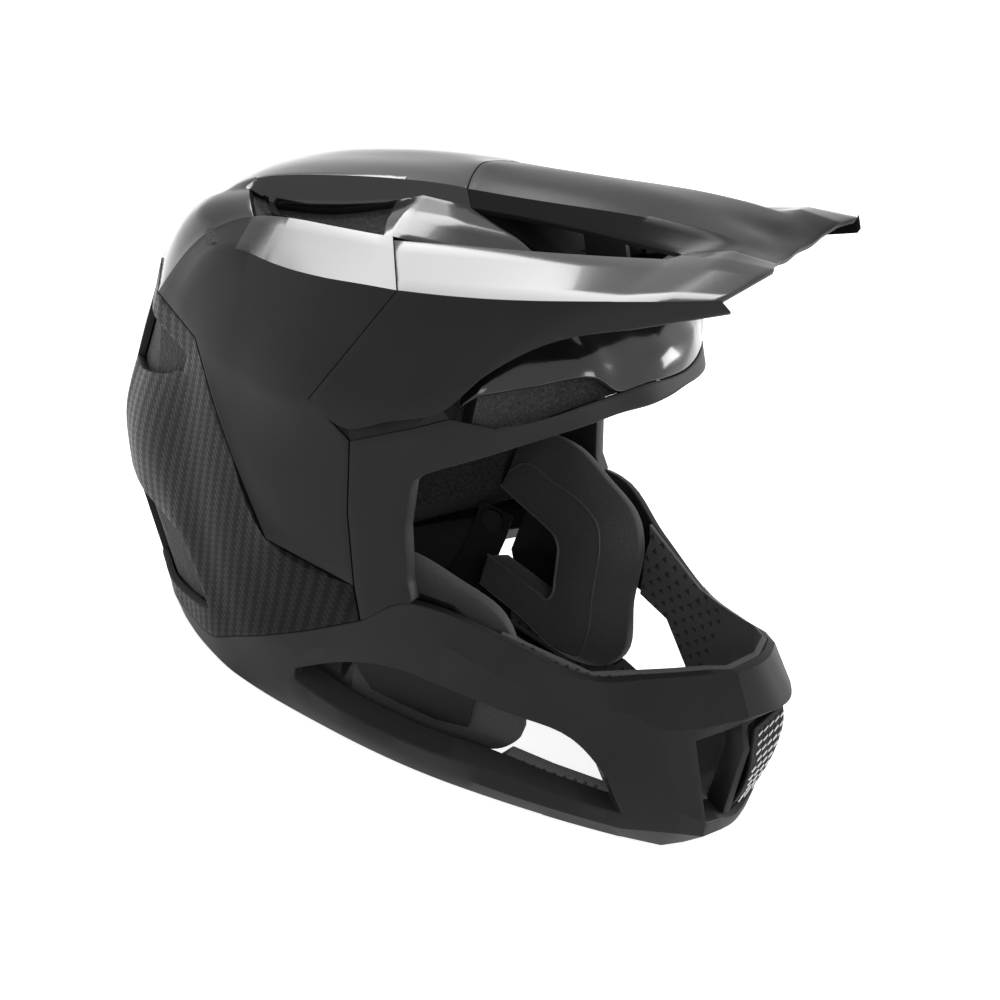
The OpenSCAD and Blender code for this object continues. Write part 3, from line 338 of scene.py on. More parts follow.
# Nets of shared points, as shares of half the width, half the length and the height
# Crown shell, front row to rear lip.
# Each row runs from the middle out to the frame seam, then down the flange.
CROWN_SHARES = [
  [[0, 0.27, 0.87], [0.13, 0.255, 0.865], [0.235, 0.23, 0.86], [0.27, 0.195, 0.84],
   [0.355, 0.03, 0.845], [0.45, -0.125, 0.835], [0.765, -0.07, 0.74], [0.905, -0.05, 0.645],
   [0.92, -0.085, 0.63]],
  [[0, 0.31, 0.86], [0.13, 0.295, 0.86], [0.245, 0.275, 0.855], [0.28, 0.25, 0.835],
   [0.4, 0.185, 0.83], [0.52, 0.08, 0.815], [0.785, 0.055, 0.745], [0.93, 0.045, 0.61],
   [0.95, -0.01, 0.595]],
  [[0, 0.355, 0.855], [0.14, 0.35, 0.85], [0.245, 0.33, 0.845], [0.285, 0.325, 0.825],
   [0.435, 0.32, 0.81], [0.59, 0.29, 0.795], [0.87, 0.165, 0.77], [0.965, 0.275, 0.56],
   [0.975, 0.135, 0.53], [0.955, 0.085, 0.415], [0.92, 0.015, 0.3]],
  [[0, 0.435, 0.835], [0.14, 0.425, 0.83], [0.26, 0.405, 0.825], [0.295, 0.385, 0.8],
   [0.45, 0.355, 0.795], [0.59, 0.315, 0.79], [0.86, 0.25, 0.755], [0.95, 0.345, 0.54],
   [0.955, 0.24, 0.47], [0.94, 0.205, 0.38], [0.92, 0.085, 0.3]],
  [[0, 0.575, 0.79], [0.14, 0.575, 0.79], [0.26, 0.575, 0.78], [0.295, 0.56, 0.735],
   [0.45, 0.515, 0.745], [0.585, 0.45, 0.765], [0.815, 0.39, 0.72], [0.88, 0.445, 0.53],
   [0.915, 0.345, 0.455], [0.93, 0.275, 0.375], [0.92, 0.155, 0.3]],
  [[0, 0.745, 0.74], [0.14, 0.74, 0.74], [0.26, 0.73, 0.735], [0.295, 0.71, 0.7],
   [0.435, 0.64, 0.715], [0.555, 0.56, 0.74], [0.75, 0.525, 0.69], [0.81, 0.535, 0.515],
   [0.86, 0.435, 0.45], [0.905, 0.345, 0.375], [0.92, 0.2, 0.3]],
  [[0, 0.765, 0.735], [0.14, 0.76, 0.735], [0.26, 0.75, 0.735], [0.295, 0.725, 0.7],
   [0.435, 0.665, 0.71], [0.54, 0.59, 0.735], [0.72, 0.56, 0.685], [0.79, 0.555, 0.515],
   [0.85, 0.45, 0.445], [0.895, 0.355, 0.375], [0.92, 0.21, 0.3]],
  [[0, 0.845, 0.71], [0.14, 0.835, 0.71], [0.27, 0.8, 0.715], [0.305, 0.785, 0.705],
   [0.4, 0.75, 0.71], [0.495, 0.685, 0.71], [0.66, 0.65, 0.665], [0.75, 0.61, 0.51],
   [0.825, 0.495, 0.445], [0.88, 0.39, 0.38], [0.92, 0.24, 0.3]],
  [[0, 0.95, 0.645], [0.14, 0.935, 0.65], [0.235, 0.92, 0.65], [0.285, 0.905, 0.65],
   [0.385, 0.875, 0.65], [0.47, 0.84, 0.65], [0.575, 0.785, 0.65], [0.705, 0.665, 0.505],
   [0.79, 0.545, 0.445], [0.86, 0.43, 0.38], [0.92, 0.265, 0.3]],
  [[0, 1, 0.52], [0.105, 1, 0.52], [0.19, 0.995, 0.515], [0.245, 0.985, 0.515],
   [0.315, 0.955, 0.505], [0.435, 0.91, 0.495], [0.555, 0.81, 0.5], [0.66, 0.705, 0.5],
   [0.765, 0.585, 0.445], [0.85, 0.455, 0.385], [0.92, 0.28, 0.3]]
]
# Rear shell below the crown, row by row down to the ring, from the middle out to the frame seam
REAR_SHARES = [
  [[0, 1, 0.455], [0.105, 0.995, 0.455], [0.19, 0.99, 0.455], [0.245, 0.975, 0.455],
   [0.32, 0.95, 0.455], [0.425, 0.905, 0.455], [0.52, 0.815, 0.455], [0.61, 0.725, 0.455],
   [0.73, 0.595, 0.395], [0.825, 0.465, 0.345], [0.905, 0.275, 0.285]],
  [[0, 0.99, 0.34], [0.105, 0.985, 0.34], [0.19, 0.985, 0.34], [0.245, 0.97, 0.34],
   [0.32, 0.93, 0.34], [0.425, 0.87, 0.36], [0.52, 0.795, 0.39], [0.6, 0.725, 0.425],
   [0.72, 0.6, 0.36], [0.81, 0.455, 0.305], [0.895, 0.27, 0.275]],
  [[0, 0.975, 0.265], [0.105, 0.975, 0.26], [0.19, 0.97, 0.26], [0.245, 0.96, 0.255],
   [0.33, 0.915, 0.245], [0.435, 0.85, 0.245], [0.54, 0.76, 0.25], [0.635, 0.65, 0.26],
   [0.73, 0.55, 0.255], [0.8, 0.445, 0.25], [0.885, 0.25, 0.255]],
  [[0, 0.93, 0.175], [0.085, 0.93, 0.175], [0.175, 0.92, 0.17], [0.26, 0.895, 0.17],
   [0.35, 0.845, 0.165], [0.435, 0.785, 0.165], [0.54, 0.685, 0.17], [0.645, 0.59, 0.175],
   [0.72, 0.485, 0.19], [0.785, 0.4, 0.2], [0.88, 0.215, 0.23]],
  [[0, 0.77, 0.05], [0.085, 0.77, 0.05], [0.175, 0.755, 0.045], [0.26, 0.73, 0.045],
   [0.35, 0.685, 0.045], [0.435, 0.635, 0.045], [0.565, 0.535, 0.06], [0.685, 0.43, 0.085],
   [0.73, 0.375, 0.105], [0.775, 0.32, 0.13], [0.85, 0.17, 0.19]],
  [[0, 0.71, 0.02], [0.085, 0.705, 0.02], [0.175, 0.69, 0.02], [0.26, 0.675, 0.025],
   [0.35, 0.645, 0.025], [0.415, 0.625, 0.025], [0.55, 0.515, 0.03], [0.66, 0.405, 0.04],
   [0.73, 0.33, 0.075], [0.785, 0.265, 0.105], [0.86, 0.105, 0.18]]
]
# Ground edge of the lower ring under each point of its upper seam
RING_GROUND_SHARES = [
  [[0, 0.685, 0], [0.085, 0.685, 0], [0.175, 0.675, 0], [0.26, 0.65, 0],
   [0.34, 0.615, 0], [0.41, 0.585, 0], [0.52, 0.505, 0], [0.615, 0.4, 0],
   [0.66, 0.33, 0], [0.68, 0.265, 0]]
]
# Brow panel, lower edge to the hidden upper edge
BROW_SHARES = [
  [[0, -0.43, 0.71], [0.14, -0.42, 0.71], [0.26, -0.4, 0.71], [0.39, -0.37, 0.7],
   [0.52, -0.32, 0.725], [0.715, -0.215, 0.7], [0.86, -0.125, 0.675], [0.895, -0.095, 0.65]],
  [[0, -0.39, 0.75], [0.14, -0.385, 0.75], [0.26, -0.36, 0.745], [0.39, -0.33, 0.745],
   [0.52, -0.29, 0.755], [0.695, -0.2, 0.72], [0.845, -0.12, 0.69], [0.885, -0.09, 0.655]],
  [[0, -0.24, 0.8], [0.14, -0.235, 0.8], [0.26, -0.23, 0.8], [0.39, -0.215, 0.79],
   [0.505, -0.205, 0.78], [0.67, -0.165, 0.745], [0.815, -0.11, 0.7], [0.87, -0.085, 0.665]]
]
# Eyeport frame from the middle of the brow to the foot of the pillar: outer seam, then opening edge
FRAME_SHARES = [
  [[0, -0.43, 0.71], [0.14, -0.42, 0.71], [0.26, -0.4, 0.71], [0.39, -0.37, 0.7],
   [0.52, -0.33, 0.685], [0.65, -0.275, 0.66], [0.81, -0.185, 0.63], [0.92, -0.085, 0.63],
   [0.95, -0.01, 0.595], [0.975, 0.135, 0.53], [0.955, 0.085, 0.415], [0.92, 0.015, 0.3],
   [0.915, -0.03, 0.25]],
  [[0, -0.45, 0.69], [0.14, -0.445, 0.685], [0.26, -0.43, 0.68], [0.4, -0.39, 0.67],
   [0.52, -0.345, 0.65], [0.65, -0.275, 0.62], [0.8, -0.175, 0.575], [0.895, -0.095, 0.54],
   [0.92, -0.065, 0.525], [0.93, -0.045, 0.505], [0.92, -0.065, 0.43], [0.905, -0.115, 0.345],
   [0.915, -0.145, 0.32]]
]
# Chin bar stations from the ring forward: rim, crease, window top, window bottom, lower crease, ground edge
CHIN_SHARES = [
  [[0.86, 0.105, 0.18], [0.85, 0.11, 0.14], [0.805, 0.12, 0.095], [0.8, 0.115, 0.075],
   [0.755, 0.09, 0.035], [0.695, 0.07, 0]],
  [[0.915, -0.03, 0.25], [0.885, -0.055, 0.215], [0.835, -0.08, 0.175], [0.775, -0.07, 0.06],
   [0.74, -0.105, 0.03], [0.68, -0.125, 0]],
  [[0.915, -0.145, 0.32], [0.88, -0.16, 0.26], [0.825, -0.175, 0.19], [0.755, -0.185, 0.06],
   [0.715, -0.205, 0.03], [0.66, -0.215, 0]],
  [[0.895, -0.195, 0.325], [0.87, -0.24, 0.27], [0.8, -0.25, 0.19], [0.73, -0.265, 0.06],
   [0.685, -0.285, 0.03], [0.635, -0.29, 0]],
  [[0.72, -0.4, 0.3], [0.75, -0.415, 0.245], [0.72, -0.425, 0.185], [0.65, -0.435, 0.065],
   [0.625, -0.44, 0.03], [0.565, -0.435, 0]],
  [[0.55, -0.61, 0.275], [0.59, -0.63, 0.24], [0.61, -0.605, 0.175], [0.53, -0.64, 0.06],
   [0.505, -0.645, 0.03], [0.435, -0.645, 0]],
  [[0.435, -0.695, 0.29], [0.515, -0.72, 0.245], [0.53, -0.715, 0.125], [0.445, -0.77, 0.06],
   [0.41, -0.775, 0.03], [0.34, -0.77, 0]],
  [[0.34, -0.77, 0.305], [0.47, -0.785, 0.23], [0.425, -0.84, 0.165], [0.365, -0.895, 0.095],
   [0.32, -0.905, 0.05], [0.25, -0.865, 0]],
  [[0.26, -0.835, 0.32], [0.35, -0.875, 0.245], [0.355, -0.87, 0.22], [0.27, -0.96, 0.08],
   [0.245, -0.96, 0.05], [0.19, -0.905, 0.01]],
  [[0.19, -0.88, 0.325], [0.215, -0.955, 0.27], [0.225, -0.93, 0.245], [0.165, -0.975, 0.075],
   [0.15, -0.975, 0.05], [0.12, -0.93, 0.025]],
  [[0, -0.905, 0.33], [0, -1, 0.28], [0, -0.96, 0.255], [0, -0.985, 0.06],
   [0, -0.985, 0.045], [0, -0.95, 0.03]]
]
# Visor from the rear seam to the front lip: spine, spine wall, wing top edge, crest and lower edge
VISOR_SHARES = [
  [[0, 0.27, 0.87], [0.13, 0.255, 0.865], [0.235, 0.23, 0.86], [0.27, 0.195, 0.84],
   [0.615, 0.28, 0.795], [0.87, 0.165, 0.77], [0.965, 0.275, 0.56]],
  [[0, 0.115, 0.895], [0.13, 0.105, 0.895], [0.235, 0.085, 0.885], [0.27, 0.065, 0.865],
   [0.6, 0.115, 0.835], [0.88, 0.035, 0.8], [1, 0.155, 0.55]],
  [[0, -0.01, 0.92], [0.13, -0.015, 0.915], [0.235, -0.035, 0.91], [0.28, -0.055, 0.885],
   [0.565, -0.01, 0.86], [0.87, -0.07, 0.825], [1, 0.045, 0.595]],
  [[0, -0.125, 0.94], [0.13, -0.13, 0.935], [0.235, -0.15, 0.93], [0.285, -0.165, 0.9],
   [0.54, -0.115, 0.88], [0.85, -0.17, 0.85], [0.975, -0.065, 0.64]],
  [[0, -0.25, 0.96], [0.13, -0.255, 0.955], [0.235, -0.275, 0.95], [0.315, -0.285, 0.92],
   [0.485, -0.25, 0.91], [0.825, -0.265, 0.875], [0.92, -0.135, 0.72]],
  [[0, -0.375, 0.975], [0.13, -0.39, 0.975], [0.235, -0.405, 0.975], [0.35, -0.39, 0.94],
   [0.425, -0.37, 0.935], [0.8, -0.355, 0.9], [0.845, -0.235, 0.795]],
  [[0, -0.505, 0.975], [0.13, -0.505, 0.98], [0.235, -0.51, 0.98], [0.34, -0.505, 0.98],
   [0.435, -0.505, 0.975], [0.765, -0.455, 0.925], [0.755, -0.41, 0.865]],
  [[0, -0.6, 0.975], [0.13, -0.605, 0.975], [0.225, -0.605, 0.98], [0.33, -0.615, 0.99],
   [0.425, -0.635, 0.995], [0.695, -0.59, 0.96], [0.66, -0.615, 0.945]]
]
# Stations along the C of a cheek pad: outline, edge of the face and edge of the ear recess
CUSHION_SHARES = [
  [[0.46, 0.31], [0.38, 0.22], [0.38, 0.135]],
  [[0.36, 0.465], [0.32, 0.31], [0.24, 0.115]],
  [[0.2, 0.51], [0.145, 0.31], [0.08, 0.095]],
  [[-0.06, 0.455], [-0.05, 0.305], [-0.015, 0.07]],
  [[-0.3, 0.36], [-0.2, 0.24], [-0.06, 0.02]],
  [[-0.365, 0.28], [-0.235, 0.185], [-0.075, -0.02]],
  [[-0.46, -0.03], [-0.32, -0.065], [-0.11, -0.12]],
  [[-0.55, -0.3], [-0.405, -0.335], [-0.135, -0.2]],
  [[-0.49, -0.41], [-0.405, -0.405], [-0.125, -0.24]],
  [[-0.35, -0.48], [-0.34, -0.435], [-0.05, -0.24]],
  [[0, -0.46], [0, -0.41], [0.1, -0.235]],
  [[0.31, -0.43], [0.26, -0.395], [0.28, -0.23]]
]
# Shares down the ring from its seam to the ground
RING_ROW_SHARES = [0, 0.2, 0.45, 0.65, 0.85, 1]
# Middle line of the chin strap from the rivet to the buckle: share of half the width, share of the height
STRAP_SHARES = [[0.7235, 0.195], [0.7235, 0.15], [0.68, 0.098], [0.57, 0.05], [0.35, 0.023], [0.13, 0.022]]


# Panels from nets
def net(rows):
    return [[tuple(at(share)) for share in row] for row in rows]


def filled(rows):
    """Rows of one length, the short ones with their last point repeated."""
    n = max(len(row) for row in rows)
    return [list(row) + [row[-1]] * (n - len(row)) for row in rows]


def mirrored(points):
    return [(-x, y, z) for x, y, z in points]


def both_sides(rows):
    return [mirrored(reversed(row[1:])) + list(row) for row in filled(rows)]


def middle(grid):
    return (len(grid[0]) - 1) // 2


def half_cell(j, mid):
    """Number of a cell counted from the middle out."""
    return j - mid if j >= mid else mid - 1 - j


def both(cols, mid):
    """Columns on both sides of the middle."""
    return {mid + c for c in cols} | {mid - c for c in cols}


def mix(a, b, t):
    return tuple(p * (1 - t) + q * t for p, q in zip(a, b))


def settle(obj):
    """Apply the modifiers of an object."""
    graph = bpy.context.evaluated_depsgraph_get()
    graph.update()
    mesh = bpy.data.meshes.new_from_object(obj.evaluated_get(graph))
    old = obj.data
    obj.modifiers.clear()
    obj.data = mesh
    bpy.data.meshes.remove(old)


def rounded(obj, width, segments, angle, sharp):
    """Bevel the edges that turn by more than an angle, then shade smooth."""
    bevel = obj.modifiers.new("rim", "BEVEL")
    bevel.width = width * MM
    bevel.segments = segments
    bevel.limit_method = "ANGLE"
    bevel.angle_limit = math.radians(angle)
    settle(obj)
    obj.data.shade_smooth()
    obj.data.set_sharp_from_angle(angle=math.radians(sharp))


def finish_mesh(bm, name, materials, body, replaces=(), rim=0.6, sharp=38, angle=50):
    """Make an object from a closed mesh in millimetres, with rounded edges."""
    bmesh.ops.recalc_face_normals(bm, faces=bm.faces)
    bmesh.ops.scale(bm, vec=(MM, MM, MM), verts=bm.verts)
    mesh = bpy.data.meshes.new(name)
    bm.to_mesh(mesh)
    bm.free()
    obj = placed(name, mesh)
    for material in materials:
        mesh.materials.append(material)
    rounded(obj, rim, 2, angle, sharp)
    if replaces:
        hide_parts(*replaces)
    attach(obj, body)
    return obj


# Shortest length that is divided by, in millimetres
TINY = 0.01


def slope(a, b, c):
    """Direction of a smooth line at b, for points at uneven distances."""
    h0 = max((b - a).length, TINY)
    h1 = max((c - b).length, TINY)
    return ((b - a) / h0 * h1 + (c - b) / h1 * h0) / (h0 + h1)


def between(b, c, m0, m1, t):
    """Point of the cubic from b to c that leaves along m0 and arrives along m1."""
    h = (c - b).length
    t2 = t * t
    t3 = t2 * t
    ends = b * (2 * t3 - 3 * t2 + 1) + c * (3 * t2 - 2 * t3)
    return ends + m0 * h * (t3 - 2 * t2 + t) + m1 * h * (t3 - t2)


def faired(line, corners, passes=8, inside=0.5, near_end=0.15):
    """Move points a little, so that the line bends evenly between its corners."""
    line = [p.copy() for p in line]
    n = len(line)
    for _ in range(passes):
        for k in range(1, n - 1):
            if k in corners:
                continue
            b, c = line[k - 1], line[k + 1]
            chord = (c - b).normalized()
            free_start = k - 2 < 0 or k - 1 in corners
            free_end = k + 2 >= n or k + 1 in corners
            m0 = chord if free_start else slope(line[k - 2], b, c)
            m1 = chord if free_end else slope(b, c, line[k + 2])
            h0, h1 = (line[k] - b).length, (c - line[k]).length
            goal = between(b, c, m0, m1, h0 / max(h0 + h1, TINY))
            if not (free_start or free_end):
                line[k] = line[k].lerp(goal, inside)
            elif not (free_start and free_end):
                line[k] = line[k].lerp(goal, near_end)
    return line


def end_slope(chord, other):
    """Direction at a corner: straight, or bent against the slope at the other end."""
    return chord if other is None else chord * 1.5 - other * 0.5


def smooth_between(line, steps, corners, wrap=False):
    """Points on a smooth line through the given ones, sharp at the corners."""
    n = len(line)
    slopes = []
    for k in range(n):
        if k in corners or (not wrap and k in (0, n - 1)):
            slopes.append(None)
        else:
            slopes.append(slope(line[k - 1], line[k], line[(k + 1) % n]))
    out = []
    for k in range(n if wrap else n - 1):
        b, c = line[k], line[(k + 1) % n]
        chord = (c - b).normalized()
        m0, m1 = slopes[k], slopes[(k + 1) % n]
        start = end_slope(chord, m1) if m0 is None else m0
        end = end_slope(chord, m0) if m1 is None else m1
        out += [between(b, c, start, end, s / steps) for s in range(steps)]
    return out if wrap else out + [line[-1].copy()]


def fine_grid(grid, row_corners, col_corners, wrap, steps, fair):
    """Points of a smooth surface through a net: down its columns first, then across."""
    m = len(grid[0])
    columns = []
    for j in range(m):
        line = [Vector(row[j]) for row in grid]
        corners = row_corners(j)
        if fair and 0 < j < m - 1:
            line = faired(line, corners)
        columns.append(smooth_between(line, steps[0], corners))
    fine = []
    for i in range(len(columns[0])):
        line = [column[i] for column in columns]
        fine.append(smooth_between(line, steps[1], col_corners(i / steps[0]), wrap))
    return fine


def skin(grid, keep, row_corners, col_corners, paint=None, wrap=False, steps=(6, 4), fair=True):
    """Open surface over a net, sharp at the named corners, with the cells that keep names."""
    fine = fine_grid(grid, row_corners, col_corners, wrap, steps, fair)
    bm = bmesh.new()
    place = bm.verts.layers.float.new("row")
    made = {}

    def vert(p, row):
        key = tuple(round(c, 2) for c in p)
        if key not in made:
            made[key] = bm.verts.new(p)
            made[key][place] = row
        return made[key]

    width = len(fine[0])
    for i in range(len(fine) - 1):
        for j in range(width if wrap else width - 1):
            cell = (i // steps[0], j // steps[1])
            if not keep(*cell):
                continue
            k = (j + 1) % width
            corners = []
            for row, col in ((i, j), (i, k), (i + 1, k), (i + 1, j)):
                v = vert(fine[row][col], row / steps[0])
                if v not in corners:
                    corners.append(v)
            if len(corners) > 2 and bm.faces.get(corners) is None:
                face = bm.faces.new(corners)
                face.material_index = paint(*cell) if paint else 0
    return bm


def whole_skin(grid, creases):
    """The whole of a net, sharp along all its rows and the named columns."""
    return skin(grid, lambda i, j: True, lambda j: range(len(grid)),
                lambda row: both(creases, middle(grid)), steps=(2, 6), fair=False)


def thicken(bm, depth, inner_slot, centre=None):
    """Give an open surface an inside; depth is a length, or a function of the row in the net."""
    outer = list(bm.faces)
    place = bm.verts.layers.float.get("row")
    inside = {}
    for v in list(bm.verts):
        wall = depth(v[place]) if callable(depth) else depth
        goal = centre(v.co) if centre else CORE
        inside[v] = bm.verts.new(v.co + (goal - v.co).normalized() * wall)
    rims = [e for e in bm.edges if len(e.link_faces) == 1]
    rims = [(e.link_loops[0].vert, e.link_loops[0].link_loop_next.vert) for e in rims]
    for face in outer:
        f = bm.faces.new([inside[v] for v in reversed(face.verts)])
        f.material_index = inner_slot
    for a, b in rims:
        f = bm.faces.new((b, a, inside[a], inside[b]))
        f.material_index = inner_slot


def shift(bm, x, y, z):
    bmesh.ops.translate(bm, vec=(x, y, z), verts=bm.verts)


# Columns that stay sharp in the crown, the rear shell and the seam between them
CREASES = (2, 3, 5, 6, 7)
FLANGE_CREASES = (8, 9)
SCOOP_CREASE = 4
# Cells and columns of the crown vents, their open rows, and the rows that are sharp beside them
VENT_COLS = (3, 4)
CROWN_OPEN_ROWS = (3, 4, 6)
CROWN_VENT_ROWS = (1, 2, 3, 5, 6, 7)
# Rows under the visor, where the crown ends at a column
WING_ROWS = 2
WING_COL = 5
# Number of gloss cells a side, ahead of a row and behind it
GLOSS_CELLS = 6
REAR_GLOSS_ROW = 7
REAR_GLOSS_CELLS = 5
FLANGE_COL = 10


def crown_skin():
    """Gloss top with matt sides, open at the vents."""
    grid = both_sides(net(CROWN_SHARES))
    mid = middle(grid)
    last_row = len(grid) - 1

    def keep(i, j):
        c = half_cell(j, mid)
        under_wing = i < WING_ROWS and c >= WING_COL
        return not under_wing and not (c in VENT_COLS and i in CROWN_OPEN_ROWS)

    def paint(i, j):
        return 0 if half_cell(j, mid) < (GLOSS_CELLS if i < REAR_GLOSS_ROW else REAR_GLOSS_CELLS) else 1

    def row_corners(j):
        c = abs(j - mid)
        if c in VENT_COLS:
            return CROWN_VENT_ROWS
        if c == FLANGE_COL:
            return range(len(grid))
        return (WING_ROWS,) if WING_COL <= c < FLANGE_COL else ()

    def col_corners(row):
        if row <= WING_ROWS:
            return both(CREASES + FLANGE_CREASES + (SCOOP_CREASE,), mid)
        return both(CREASES + FLANGE_CREASES if row >= last_row else CREASES, mid)

    bm = skin(grid, keep, row_corners, col_corners, paint)
    shift(bm, 0, 0, 2 * SEAM)
    thicken(bm, SHELL_T, 2)
    finish_mesh(bm, "crown_shell_skin", [GLOSS, MATT, INNER], "helmet", ["crown_shell"])


FRAME = net(FRAME_SHARES)
rear_rows = net([CROWN_SHARES[-1]] + REAR_SHARES)
# Open cells and rows of the rear shell, and the columns whose rows are sharp at their ends
REAR_OPEN_CELLS = range(3, 7)
REAR_OPEN_ROWS = (1, 4)
REAR_VENT_COLS = range(3, 8)
REAR_VENT_ROWS = (1, 2, 4, 5)


def rear_skin():
    """Carbon shell from the crown's rear lip down to the ring and forward to the frame."""
    steps = len(rear_rows) - 1
    front = [mix(FRAME[0][-2], FRAME[0][-1], k / steps) for k in range(steps + 1)]
    grid = both_sides([list(row) + [front[k]] for k, row in enumerate(rear_rows)])
    mid = middle(grid)

    def keep(i, j):
        return not (half_cell(j, mid) in REAR_OPEN_CELLS and i in REAR_OPEN_ROWS)

    def row_corners(j):
        c = abs(j - mid)
        if c in REAR_VENT_COLS:
            return REAR_VENT_ROWS
        return range(len(grid)) if c > FLANGE_COL else ()

    def col_corners(row):
        return both(CREASES + FLANGE_CREASES if row == 0 else (FLANGE_COL,), mid)

    bm = skin(grid, keep, row_corners, col_corners)
    shift(bm, 0, SEAM, SEAM)
    thicken(bm, SHELL_T, 1)
    finish_mesh(bm, "rear_shell_skin", [CARBON, INNER], "helmet", ["rear_shell"])


# Sharp stations of the ring, the row with its openings, and their cells
RING_CORNERS = (10, 16, 17, 18, 19)
WINDOW_ROW = 2
WINDOW_CELLS = range(10, 16)
MOUTH_CELL = 18


def ring_stations():
    """Stations from the middle of the back to the middle of the chin, down to the ground's inside."""
    pairs = zip(rear_rows[-1], net(RING_GROUND_SHARES)[0])
    stations = [[mix(upper, lower, share) for share in RING_ROW_SHARES] for upper, lower in pairs]
    stations += net(CHIN_SHARES)
    for station in stations:
        p = Vector(station[-1])
        q = Vector((CORE.x, CORE.y, p.z))
        station.append(tuple(p + (q - p).normalized() * LAND_W))
    return stations


def ring_skin():
    """Chin bar and lower ring, right round, thin at the upper rim."""
    stations = ring_stations()
    last = len(stations) - 1
    loop = stations + [mirrored(stations[k]) for k in range(last - 1, 0, -1)]
    count = len(loop)
    grid = [[station[i] for station in loop] for i in range(len(loop[0]))]
    corners = {k for c in RING_CORNERS for k in (c, (count - c) % count)}

    def keep(i, j):
        cell = j if j < last else count - 1 - j
        return i != WINDOW_ROW or not (cell in WINDOW_CELLS or cell >= MOUTH_CELL)

    bm = skin(grid, keep, lambda j: range(len(grid)), lambda row: corners, wrap=True,
              steps=(1, 6), fair=False)
    thicken(bm, lambda row: RIM_T if row == 0 else CHIN_T, 0)
    finish_mesh(bm, "chin_bar_skin", [MATT], "helmet", ["chin_bar"], rim=0.7, sharp=18)


# The frame is thickened towards the core above this height, and straight across below the turn
BROW_Z = 180
TURN_Z = 25
PILLAR_COLS = range(6, 13)


def frame_skin():
    """Rim of the face opening: its pillars are thickened straight across."""
    between_them = [mix(a, b, 0.5) for a, b in zip(*FRAME)]

    def centre(p):
        return CORE.lerp(Vector((0, p.y, p.z)), min(1, max(0, (BROW_Z - p.z) / TURN_Z)))

    bm = whole_skin(both_sides([FRAME[0], between_them, FRAME[1]]), PILLAR_COLS)
    shift(bm, 0, -SEAM, 2 * SEAM)
    thicken(bm, FRAME_T, 0, centre)
    finish_mesh(bm, "eyeport_frame_skin", [MATT], "helmet", ["eyeport_frame"], rim=0.9)


BROW_CREASES = (6, 7)


def brow_skin():
    bm = whole_skin(both_sides(net(BROW_SHARES)), BROW_CREASES)
    shift(bm, 0, 0, 2 * SEAM)
    thicken(bm, SHELL_T, 1)
    finish_mesh(bm, "brow_panel_skin", [GLOSS, INNER], "helmet", ["brow_panel"])


# The visor's creases, its windows' cell, columns and length in rows, and the row before its lip
VISOR_CREASES = (2, 3, 4, 5)
VISOR_OPEN_CELL = 3
VISOR_OPEN_COLS = (3, 4)
VISOR_OPEN_ROWS = 5
LIP_ROW = 6
SPINE_CELLS = 3
SIDE_CELL = 5
# Where its wall turns from the core to a line below it
VISOR_TURN_Y = 40
VISOR_TURN_L = 60
UNDER_VISOR = (10, 195)


def visor_skin():
    """Satin spine, gloss wings and matt sides, with a window a side."""
    grid = both_sides(net(VISOR_SHARES))
    mid = middle(grid)

    def keep(i, j):
        return not (half_cell(j, mid) == VISOR_OPEN_CELL and i < VISOR_OPEN_ROWS)

    def paint(i, j):
        c = half_cell(j, mid)
        return 1 if c == SIDE_CELL else 2 if c < SPINE_CELLS else 0

    def row_corners(j):
        return (VISOR_OPEN_ROWS, LIP_ROW) if abs(j - mid) in VISOR_OPEN_COLS else (LIP_ROW,)

    def centre(p):
        t = min(1.0, max(0.0, (VISOR_TURN_Y - p.y) / VISOR_TURN_L))
        return CORE.lerp(Vector((0, p.y + UNDER_VISOR[0], UNDER_VISOR[1])), t)

    bm = skin(grid, keep, row_corners, lambda row: both(VISOR_CREASES, mid), paint)
    shift(bm, 0, -SEAM, 2 * SEAM)
    thicken(bm, VISOR_T, 1, centre)
    finish_mesh(bm, "visor_skin", [GLOSS, MATT, SATIN], "visor", ["visor"], rim=0.7)


crown_skin()
rear_skin()
ring_skin()
frame_skin()
brow_skin()
visor_skin()

# Mouth vent: front edge of the surround on the left side, upper corner first, in millimetres
VENT_FRONT = [(18, -166, 70.3), (20, -171.5, 61), (10.5, -171, 22.5)]
VENT_CHAMFER = 3
CHAMFER_DEPTH = 2
VENT_DRAFT = 1
VENT_DEPTH = 12
VENT_WALL = 2.5
VENT_LIP = 0.3
LIP_DEPTH = 3
# Share of the growth outward that the upper and lower edges get
RISE_SHARE = 0.3


def vent_ring(out, back_by):
    half = [Vector((x + out, y + back_by, z)) for x, y, z in VENT_FRONT]
    half[0].z += out * RISE_SHARE
    half[-1].z -= out * RISE_SHARE
    return half + [Vector((-p.x, p.y, p.z)) for p in reversed(half)]


def mouth_surround():
    """Closed six-sided tunnel: inner wall, front edge, chamfer and side wall."""
    bm = bmesh.new()
    outside = VENT_CHAMFER - VENT_DRAFT
    levels = [(0, 0), (VENT_CHAMFER, CHAMFER_DEPTH), (outside, VENT_DEPTH),
              (outside - VENT_WALL, VENT_DEPTH), (-VENT_LIP, LIP_DEPTH)]
    rings = [[bm.verts.new(p) for p in vent_ring(out, back_by)] for out, back_by in levels]
    for k, ring in enumerate(rings):
        other = rings[(k + 1) % len(rings)]
        for s in range(len(ring)):
            e = (s + 1) % len(ring)
            bm.faces.new((ring[s], ring[e], other[e], other[s]))
    finish_mesh(bm, "mouth_surround", [PLASTIC], "helmet", ["mouth_vent"],
                rim=0.4, sharp=25)


